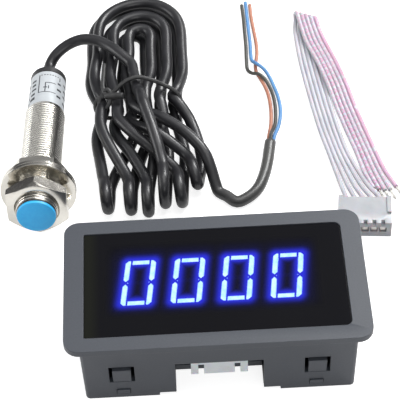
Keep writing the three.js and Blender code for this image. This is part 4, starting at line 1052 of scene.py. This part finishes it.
on_front = work_out(pane_smoke, "SUBTRACT", 1.0, on_rear)
clear_stretch = work_out(
    pane_smoke, "ADD",
    work_out(pane_smoke, "MULTIPLY", sight(rear_sight, rear_fade), on_rear),
    work_out(pane_smoke, "MULTIPLY", sight(front_sight, front_fade), on_front))
clearness = work_out(pane_smoke, "MULTIPLY", sight_clearness, clear_stretch)
connect(
    pane_smoke, work_out(pane_smoke, "SUBTRACT", 1.0, clearness),
    shader_of(pane_smoke).inputs["Alpha"])
tinted = span(pane_smoke, pane_x, tint_from, tint_to)
connect(
    pane_smoke, blend(pane_smoke, tinted, pane_body, pane_tint),
    shader_of(pane_smoke).inputs["Base Color"])

# The smoke scatters some of the digits' light, so a blue glow is painted as emission on the pane's
# rear around each stroke. It is strong close to the stroke and fades within three millimetres. A
# thin film of air is left between the pane and the display.
air_gap = 0.00004
near_glow = 3.9
near_reach = 0.0011
far_glow = 0.58
far_reach = 0.0015
zero_x, zero_y = zero_places(pane_smoke)
outward = work_out(pane_smoke, "MAXIMUM", stroke_distance(pane_smoke, zero_x, zero_y), 0.0)
near_way = work_out(pane_smoke, "DIVIDE", outward, near_reach)
near_fall = work_out(
    pane_smoke, "MULTIPLY", near_way, work_out(pane_smoke, "MULTIPLY", near_way, -1.0))
far_fall = work_out(pane_smoke, "DIVIDE", outward, -far_reach)
glow = work_out(
    pane_smoke, "ADD",
    work_out(pane_smoke, "MULTIPLY", work_out(pane_smoke, "EXPONENT", near_fall), near_glow),
    work_out(pane_smoke, "MULTIPLY", work_out(pane_smoke, "EXPONENT", far_fall), far_glow))
shader_of(pane_smoke).inputs["Emission Color"].default_value = (*glow_blue, 1)
connect(
    pane_smoke, work_out(pane_smoke, "MULTIPLY", glow, on_rear),
    shader_of(pane_smoke).inputs["Emission Strength"])
pane = soften("pane_acrylic", "window_pane", pane_edge, pane_smoke)
for corner in pane.data.vertices:
    if corner.co.z < pane_middle_z:
        corner.co.z += air_gap


# The circuit board: green glass laminate behind the display. On its rear stand the controller,
# the regulator, a smoothing capacitor in an aluminium can, and the white nylon header whose five
# tinned pins take the harness plug.
header_edge = 0.0001
can_edge = 0.0001
# The header's nylon is painted much lighter than the plug's, as painted light lifting it out of the
# shade under the case.
header_lifted_colours = ((0.80, 0.825, 0.85), (0.87, 0.885, 0.91))
board_green = plain_finish("board_green", (0.03, 0.10, 0.05), 0.4)
give_grain(board_green, 0.003, ((0.022, 0.075, 0.04), (0.04, 0.13, 0.065)), (0.3, 0.5), 2e-5)
chip_black = plain_finish("chip_black", (0.02, 0.02, 0.022), 0.55)
give_grain(chip_black, 0.0006, ((0.015, 0.015, 0.017), (0.028, 0.028, 0.03)), (0.45, 0.65), 1e-5)
can_metal = plain_finish("can_metal", (0.6, 0.61, 0.63), 0.32, metallic=1)
give_grain(
    can_metal, 0.0008, ((0.52, 0.53, 0.55), (0.66, 0.67, 0.69)), (0.25, 0.4), 5e-6, (1, 1, 6))
header_nylon_lifted = plain_finish(
    "header_nylon_lifted", header_lifted_colours[0], 0.35, Subsurface_Weight=0.3, Subsurface_Scale=0.001)
give_grain(header_nylon_lifted, 0.004, header_lifted_colours, (0.3, 0.42), 0)
dress("main_board", board_green)
soften("header_moulding", "wire_header", header_edge, header_nylon_lifted)
dress("microcontroller", chip_black)
dress("voltage_regulator", chip_black)
soften("capacitor_can", "smoothing_capacitor", can_edge, can_metal)
for way in range(plug_ways):
    dress(f"header_pin_{way + 1}", tin)


# The barrel: nickel-plated brass, turned from bar, with a fine M12 thread cut along it and a plain
# neck at the rear that takes the label. The sensor's pieces are made upright, from the nose up,
# and then laid along its axis.
nickel = plain_finish("nickel", (0.68, 0.655, 0.60), 0.2, metallic=1)
give_grain(nickel, 0.0025, ((0.65, 0.625, 0.57), (0.73, 0.705, 0.65)), (0.16, 0.24), 0)
thread_root = 0.0055
thread_start = 0.001
thread_end = 0.0443
core_radius = 0.00553
neck_radius = 0.0052
bore_radius = 0.0047
barrel_end = 0.0588
turned_sides = 96
turned_edge = math.radians(32)
sensor_up = np.array([0, 0, 1]) - sensor_axis[2] * sensor_axis
sensor_up /= np.linalg.norm(sensor_up)
sensor_side = np.cross(sensor_axis, sensor_up)
sensor_lay = Matrix((
    (sensor_up[0], sensor_side[0], sensor_axis[0], sensor_nose[0]),
    (sensor_up[1], sensor_side[1], sensor_axis[1], sensor_nose[1]),
    (sensor_up[2], sensor_side[2], sensor_axis[2], sensor_nose[2]),
    (0, 0, 0, 1),
))


# Rings of points round the axis, each given as a function of the angle, joined into a skin as a
# lathe would leave it. The last ring joins the first one, or both are filled.
def turned(name, rings, sides, closed=True):
    points = []
    for ring in rings:
        for side in range(sides):
            angle = 2 * math.pi * side / sides
            radius, distance = ring(angle)
            points.append((radius * math.cos(angle), radius * math.sin(angle), distance))
    faces = []
    last = len(rings) if closed else len(rings) - 1
    for ring in range(last):
        near, far = ring * sides, (ring + 1) % len(rings) * sides
        for side in range(sides):
            following = (side + 1) % sides
            faces.append((near + side, near + following, far + following, far + side))
    if not closed:
        faces.append(tuple(reversed(range(sides))))
        faces.append(tuple(last * sides + side for side in range(sides)))
    mesh = skin(name, points, faces)
    mesh.set_sharp_from_angle(angle=turned_edge)
    return mesh


def circle(radius, distance):
    return lambda angle: (radius, distance)


def lay_on_sensor(name, mesh, finish, node, body="tachometer_set"):
    mesh.transform(sensor_lay)
    mesh.update()
    mesh.materials.clear()
    mesh.materials.append(finish)
    piece = place_piece(name, mesh, body)
    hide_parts(node)


core_rings = [
    circle(bore_radius, thread_start), circle(core_radius, thread_start),
    circle(core_radius, thread_end), circle(neck_radius, thread_end),
    circle(neck_radius, barrel_end), circle(bore_radius, barrel_end),
]
lay_on_sensor(
    "barrel_core", turned("barrel_core", core_rings, turned_sides), nickel, "sensor_barrel")


# The thread: one ridge of the same brass that climbs round the core, a pitch in each turn, and
# runs out to nothing over the first and the last turn. Its root is painted darker, as painted
# shade.
thread_crest = 0.0059
thread_pitch = 0.001
crest_width_share = 0.3
root_width_share = 0.9
least_taper = 0.02
section_turn = math.radians(-90)
shade_from_depth = 0.00005
shade_to_depth = 0.00025
crest_colours = ((0.72, 0.70, 0.64), (0.80, 0.775, 0.715))
root_shade_colour = (0.26, 0.25, 0.225)


# Its section is a trapezoid whose lower half is sunk in the core.
def thread_tree(sizes):
    tree, given = open_tree("screw_thread", sizes)
    turns = reckon(tree, "DIVIDE", given["Length"], given["Pitch"])
    helix = step(
        tree, "GeometryNodeCurveSpiral", Resolution=turned_sides, Rotations=turns,
        Start_Radius=given["Root Radius"], End_Radius=given["Root Radius"], Height=given["Length"])
    upright_helix = step(
        tree, "GeometryNodeSetCurveNormal", helix, settings={"mode": "Z_UP"})
    way = step(tree, "GeometryNodeSplineParameter")
    run_in = reckon(tree, "MULTIPLY", way, turns)
    run_out = reckon(tree, "SUBTRACT", turns, run_in)
    shallower = reckon(tree, "MINIMUM", run_in, run_out)
    taper = reckon(tree, "MAXIMUM", reckon(tree, "MINIMUM", shallower, 1.0), least_taper)
    depth = reckon(tree, "SUBTRACT", given["Crest Radius"], given["Root Radius"])
    foot_width_share = 2 * root_width_share - crest_width_share
    section = step(
        tree, "GeometryNodeCurvePrimitiveQuadrilateral", settings={"mode": "TRAPEZOID"},
        Height=reckon(tree, "MULTIPLY", depth, 2.0),
        Bottom_Width=reckon(tree, "MULTIPLY", given["Pitch"], foot_width_share),
        Top_Width=reckon(tree, "MULTIPLY", given["Pitch"], crest_width_share), Offset=0.0)
    turned_section = step(
        tree, "GeometryNodeTransform", section, Rotation=(0, 0, section_turn))
    ridge = step(
        tree, "GeometryNodeCurveToMesh", Curve=upright_helix, Profile_Curve=turned_section,
        Scale=taper, Fill_Caps=True)
    close_tree(tree, ridge, given)
    return tree


# How far a point lies from the sensor's axis.
def way_from_axis(finish):
    tree = finish.node_tree
    from_nose = tree.nodes.new("ShaderNodeVectorMath")
    from_nose.operation = "SUBTRACT"
    from_nose.inputs[1].default_value = sensor_nose
    connect(
        finish, tree.nodes.new("ShaderNodeTexCoord").outputs["Object"], from_nose.inputs[0])
    across = tree.nodes.new("ShaderNodeVectorMath")
    across.operation = "CROSS_PRODUCT"
    across.inputs[1].default_value = sensor_axis
    connect(finish, from_nose.outputs["Vector"], across.inputs[0])
    length = tree.nodes.new("ShaderNodeVectorMath")
    length.operation = "LENGTH"
    connect(finish, across.outputs["Vector"], length.inputs[0])
    return length.outputs["Value"]


thread_sizes = {
    "Length": thread_end - thread_start, "Pitch": thread_pitch,
    "Root Radius": thread_root, "Crest Radius": thread_crest,
}
thread_nickel = plain_finish("thread_nickel", crest_colours[0], 0.2, metallic=1)
crest_colour = give_grain(thread_nickel, 0.0025, crest_colours, (0.16, 0.24), 0)
# Painted shade: the colour darkens from near the crest down into the thread's root.
root_shade = span(
    thread_nickel, way_from_axis(thread_nickel), thread_crest - shade_from_depth,
    thread_crest - shade_to_depth)
connect(
    thread_nickel, blend(thread_nickel, root_shade, crest_colour, root_shade_colour),
    shader_of(thread_nickel).inputs["Base Color"])
nothing = bpy.data.meshes.new("nothing")
thread = made_by(thread_tree(thread_sizes), nothing, thread_sizes, thread_nickel)
thread.transform(Matrix.Translation((0, 0, thread_start)))
lay_on_sensor("thread", thread, thread_nickel, "sensor_barrel")


# The nose: a blue plastic cap with a slightly rounded rim, pressed into the barrel's mouth over
# the sensing element.
cap_radius = 0.0055
cap_plug_radius = 0.0045
cap_rim = 0.0008
cap_depth = 0.003
cap_sides = 72
cap_middle = 0.0001
cap_round = 0.0005
cap_round_shares = [(1, 0), (0.2, 0.2), (0, 0.7)]
cap_colours = ((0.030, 0.47, 0.97), (0.040, 0.52, 1.0))
cap_blue = plain_finish("cap_blue", cap_colours[0], 0.4)
give_grain(cap_blue, 0.0009, cap_colours, (0.34, 0.48), 0)
cap_rings = [
    circle(cap_middle, 0),
    *[
        circle(cap_radius - inward * cap_round, deep * cap_round)
        for inward, deep in cap_round_shares
    ],
    circle(cap_radius, cap_rim), circle(cap_plug_radius, cap_rim),
    circle(cap_plug_radius, cap_depth), circle(cap_middle, cap_depth),
]
lay_on_sensor(
    "nose_cap", turned("nose_cap", cap_rings, cap_sides, closed=False), cap_blue, "sensing_cap")


# The lock nuts: nickel-plated brass hexagons, 17 mm across the flats, whose corners are turned
# down at both ends. They run on the barrel's thread.
nut_flat = 0.0085
nut_thickness = 0.004
nut_bore = 0.00605
nut_face_share = 0.96
nut_relief = 0.0004
nut_chamfer = math.tan(math.radians(30))
nut_sides = 144
front_nut_start = 0.0033
rear_nut_start = 0.0124


# The chamfer is a cone that cuts the corners, so its edge follows the hexagon.
def nut(name, start, turn):
    face = nut_flat * nut_face_share
    end = start + nut_thickness

    def corner_radius(angle):
        beside = (angle - turn + math.pi / 6) % (math.pi / 3) - math.pi / 6
        return nut_flat / math.cos(math.pi / 6 - abs(beside))

    def front_edge(angle):
        radius = corner_radius(angle)
        return radius, start + (radius - face) * nut_chamfer

    def rear_edge(angle):
        radius = corner_radius(angle)
        return radius, end - (radius - face) * nut_chamfer

    return turned(name, [
        circle(nut_bore, start + nut_relief), circle(nut_bore + nut_relief, start),
        circle(face, start), front_edge, rear_edge,
        circle(face, end), circle(nut_bore + nut_relief, end), circle(nut_bore, end - nut_relief),
    ], nut_sides)


for side, start, turn in (
    ("front", front_nut_start, 0),
    ("rear", rear_nut_start, math.pi / 6),
):
    name = f"{side}_nut"
    lay_on_sensor(
        name, nut(name, start, turn), nickel, f"{side}_lock_nut", name)


# The lock washers: stamped spring steel rings, plated with nickel. Nine inner teeth bite on the
# nut, and those of the front washer are each twisted a little.
washer_radius = 0.01075
washer_root = 0.0093
washer_tip = 0.00635
washer_thickness = 0.001
washer_teeth = 9
washer_twist = 0.00028
washer_edge = 0.00012
washer_inset = 0.0002
tooth_half_share = 0.25
tooth_flank_share = 0.095
sector_columns = 40
tooth_join = 0.00001
front_washer_start = 0.01
rear_washer_start = 0.01115


# One tooth with its part of the ring: a loop of eight points at each column, from gap to gap.
def washer_sector(twist):
    points = []
    for column in range(sector_columns + 1):
        place = column / sector_columns - 0.5
        up_flank = (tooth_half_share + tooth_flank_share - abs(place)) / tooth_flank_share
        share = min(1.0, max(0.0, up_flank))
        inner = washer_root + (washer_tip - washer_root) * share
        lift = share * place / tooth_half_share * twist
        loop = [
            (inner, lift), (washer_root + washer_inset, 0),
            (washer_radius - washer_edge, 0), (washer_radius, washer_edge),
            (washer_radius, washer_thickness - washer_edge),
            (washer_radius - washer_edge, washer_thickness),
            (washer_root + washer_inset, washer_thickness),
            (inner, washer_thickness + min(lift, 0.0)),
        ]
        angle = place * 2 * math.pi / washer_teeth
        points += [(radius * math.cos(angle), radius * math.sin(angle), z) for radius, z in loop]
    faces = []
    around = len(loop)
    for column in range(sector_columns):
        for corner in range(around):
            near = column * around + corner
            onward = column * around + (corner + 1) % around
            faces.append((near, near + around, onward + around, onward))
    sector = skin("washer_sector", points, faces)
    sector.set_sharp_from_angle(angle=turned_edge)
    return sector


# The sector is set round the axis once for each tooth, and its copies are joined into one ring.
def washer_tree(sizes):
    tree, given = open_tree("tooth_ring", sizes)
    middles = step(tree, "GeometryNodePoints", Count=given["Teeth"])
    turn = reckon(tree, "DIVIDE", 2 * math.pi, given["Teeth"])
    turned_by = reckon(tree, "MULTIPLY", step(tree, "GeometryNodeInputIndex"), turn)
    copies = step(
        tree, "GeometryNodeInstanceOnPoints", middles, Instance=given["Geometry"],
        Rotation=step(tree, "FunctionNodeAxisAngleToRotation", (0, 0, 1), turned_by))
    whole = step(tree, "GeometryNodeRealizeInstances", copies)
    joined = step(tree, "GeometryNodeMergeByDistance", whole, Distance=given["Join Within"])
    close_tree(tree, joined, given)
    return tree


washer_sizes = {"Teeth": washer_teeth, "Join Within": tooth_join}
tooth_ring = washer_tree(washer_sizes)
for side, start, twist in (
    ("front", front_washer_start, washer_twist),
    ("rear", rear_washer_start, 0.0),
):
    ring = made_by(tooth_ring, washer_sector(twist), washer_sizes, nickel)
    ring.transform(Matrix.Translation((0, 0, start)))
    lay_on_sensor(
        f"{side}_washer", ring, nickel, f"{side}_tooth_washer", f"{side}_washer")


# The label: a sleeve of thin silver foil. It is wrapped round the barrel's plain neck, between the
# thread and the end cap, and glued.
label_radius = 0.0054
label_inner = 0.0053
label_start = 0.0445
label_colours = ((0.50, 0.53, 0.56), (0.57, 0.60, 0.62))
foil_silver = plain_finish("foil_silver", label_colours[0], 0.36, metallic=0.1)
give_grain(foil_silver, 0.003, label_colours, (0.3, 0.45), 0)
label_rings = [
    circle(label_inner, label_start), circle(label_radius, label_start),
    circle(label_radius, barrel_end), circle(label_inner, barrel_end),
]
lay_on_sensor(
    "foil_label", turned("foil_label", label_rings, turned_sides), foil_silver, "sensor_label")


# The label's print: a plain wiring figure and rows of dashes in black ink, drawn flat and then
# wrapped round the sleeve. Each mark is from and to round it, from and to along it, in mark units.
mark_unit = 0.001
mark_cuts = 3
ink_rise = 0.000012
ink_depth = 0.00002
label_marks = [
    (-2.15, -1.85, 4.4, 12.8), (-2.1, 4.6, 12.5, 12.8), (-2.1, 3.4, 4.4, 4.7),
    (-0.15, 0.15, 4.6, 9.0), (-0.1, 3.2, 8.8, 9.1), (-0.6, 0.6, 6.5, 6.9), (0.85, 1.15, 6.1, 7.5),
    (3.7, 5.3, 6.4, 7.3), (3.7, 5.3, 3.3, 4.2), (3.8, 5.0, 9.3, 10.1), (4.35, 4.65, 11.0, 12.6),
    (-4.8, -3.1, 10.5, 11.3), (-4.6, -3.1, 8.5, 9.4), (-4.8, -2.9, 6.5, 7.3),
    (-4.9, -3.3, 4.3, 5.3), (-5.2, -3.2, 2.1, 3.3), (-7.6, -5.7, 9.7, 10.7),
    (-7.8, -5.6, 6.9, 7.7), (-7.6, -5.8, 4.1, 5.1), (6.4, 8.6, 8.1, 8.9), (6.4, 8.2, 5.5, 6.3),
    (6.3, 8.0, 10.8, 11.6), (6.4, 8.4, 2.4, 3.3), (-7.5, -5.7, 1.6, 2.6),
]
ink = plain_finish("ink", (0.02, 0.022, 0.03), 0.5)
give_grain(ink, 0.0006, ((0.016, 0.018, 0.026), (0.035, 0.038, 0.05)), (0.4, 0.6), 2e-6)


# Each mark is a thin bar of ink, flat in X and Y.
def flat_marks():
    points = []
    faces = []
    for mark in label_marks:
        from_x, to_x, from_y, to_y = [place * mark_unit for place in mark]
        base = len(points)
        for z in (-ink_depth, ink_rise):
            points += [(from_x, from_y, z), (to_x, from_y, z), (to_x, to_y, z), (from_x, to_y, z)]
        faces.append((base + 3, base + 2, base + 1, base))
        faces.append((base + 4, base + 5, base + 6, base + 7))
        for corner in range(4):
            following = (corner + 1) % 4
            faces.append(
                (base + corner, base + following, base + 4 + following, base + 4 + corner))
    return skin("flat_marks", points, faces, smooth=False)


# X goes round the sleeve, Y along it, and Z out of it.
def wrap_tree(sizes):
    tree, given = open_tree("wrapped_print", sizes)
    fine = step(tree, "GeometryNodeSubdivideMesh", given["Geometry"], Level=mark_cuts)
    flat = tree.nodes.new("ShaderNodeSeparateXYZ")
    tree.links.new(step(tree, "GeometryNodeInputPosition"), flat.inputs["Vector"])
    angle = reckon(tree, "DIVIDE", flat.outputs["X"], given["Sleeve Radius"])
    radius = reckon(tree, "ADD", flat.outputs["Z"], given["Sleeve Radius"])
    wrapped = step(
        tree, "ShaderNodeCombineXYZ",
        reckon(tree, "MULTIPLY", radius, reckon(tree, "COSINE", angle)),
        reckon(tree, "MULTIPLY", radius, reckon(tree, "SINE", angle)),
        reckon(tree, "ADD", flat.outputs["Y"], given["Sleeve Start"]))
    close_tree(tree, step(tree, "GeometryNodeSetPosition", fine, Position=wrapped), given)
    return tree


wrap_sizes = {"Sleeve Radius": label_radius, "Sleeve Start": label_start}
printed_marks = made_by(wrap_tree(wrap_sizes), flat_marks(), wrap_sizes, ink)
lay_on_sensor("label_marks", printed_marks, ink, "sensor_label")


# The tail end: a black plastic cap, glued round the cable, with a red status lamp in its face.
# The sensor's own small board and its hall element are potted behind the nose.
end_edge = 0.0002
end_black = plain_finish("end_black", (0.02, 0.02, 0.022), 0.45)
give_grain(end_black, 0.001, ((0.016, 0.016, 0.018), (0.03, 0.03, 0.032)), (0.38, 0.55), 1e-5)
lamp_red = plain_finish("lamp_red", (0.45, 0.03, 0.02), 0.25)
give_grain(lamp_red, 0.001, ((0.38, 0.02, 0.015), (0.52, 0.05, 0.035)), (0.2, 0.32), 5e-6)
soften("end_cap_moulding", "sensor_end_cap", end_edge, end_black)
dress("status_lamp", lamp_red)
dress("sensor_board", board_green)
dress("hall_element", chip_black)


# The table: a plain white floor. The camera and glass see it lit up to white, metal mirrors it a
# little dimmer, and it keeps the soft shadows of what lies on it.
floor_half = 2
floor_grey = (0.6, 0.6, 0.6)
floor_lift = 0.82
mirrored_share = 0.5
floor_corners = [
    (-floor_half, -floor_half, 0), (floor_half, -floor_half, 0),
    (floor_half, floor_half, 0), (-floor_half, floor_half, 0),
]
floor = bpy.data.objects.new("floor", skin("floor", floor_corners, [(0, 1, 2, 3)], smooth=False))
bpy.context.collection.objects.link(floor)
floor_white = plain_finish("floor_white", floor_grey, 0.8, Specular_IOR_Level=0.0)
rays = floor_white.node_tree.nodes.new("ShaderNodeLightPath").outputs
straight = work_out(
    floor_white, "MAXIMUM", rays["Is Camera Ray"], rays["Is Transmission Ray"])
mirrored = work_out(floor_white, "MULTIPLY", rays["Is Glossy Ray"], mirrored_share)
seen = work_out(floor_white, "MAXIMUM", straight, mirrored)
shader_of(floor_white).inputs["Emission Color"].default_value = (1, 1, 1, 1)
connect(
    floor_white, work_out(floor_white, "MULTIPLY", seen, floor_lift),
    shader_of(floor_white).inputs["Emission Strength"])
floor.data.materials.append(floor_white)


# The studio: a large soft box above, a fill in front, a card on the left for the metal's bright
# edge, a soft sheen from behind on the right, and a sky that is dark near the table and pale above.
def add_light(name, place, aim, size, power):
    data = bpy.data.lights.new(name, "AREA")
    data.shape = "RECTANGLE"
    data.size, data.size_y = size
    data.energy = power
    lamp = bpy.data.objects.new(name, data)
    bpy.context.collection.objects.link(lamp)
    lamp.location = place
    lamp.rotation_euler = (Vector(aim) - Vector(place)).to_track_quat("-Z", "Y").to_euler()


add_light("top_box", (0.1, 0.1, 0.9), (0, 0.04, 0), (0.7, 0.5), 3.2)
add_light("front_fill", (0.2, -0.9, 0.5), (0, 0.04, 0), (0.6, 0.6), 2.9)
add_light("left_card", (-0.7, 0.1, 0.2), (-0.03, 0.05, 0), (0.5, 0.35), 2.2)
add_light("right_sheen", (0.36, 0.5, 0.54), (0.03, 0, 0.02), (0.3, 0.3), 5.4)
world = bpy.data.worlds.new("studio")
bpy.context.scene.world = world
world.use_nodes = True
sky_height = world.node_tree.nodes.new("ShaderNodeSeparateXYZ")
sky_direction = world.node_tree.nodes.new("ShaderNodeTexCoord").outputs["Generated"]
connect(world, sky_direction, sky_height.inputs["Vector"])
sky_colour = shades(
    world, sky_height.outputs["Z"], (0.02, (0.10, 0.10, 0.11)), (0.4, (0.22, 0.22, 0.23)),
    (0.62, (0.75, 0.76, 0.78)), (1.0, (1.0, 1.0, 1.0)))
connect(world, sky_colour, world.node_tree.nodes["Background"].inputs["Color"])
world.node_tree.nodes["Background"].inputs["Strength"].default_value = 0.5
bpy.context.scene.view_settings.view_transform = "Standard"
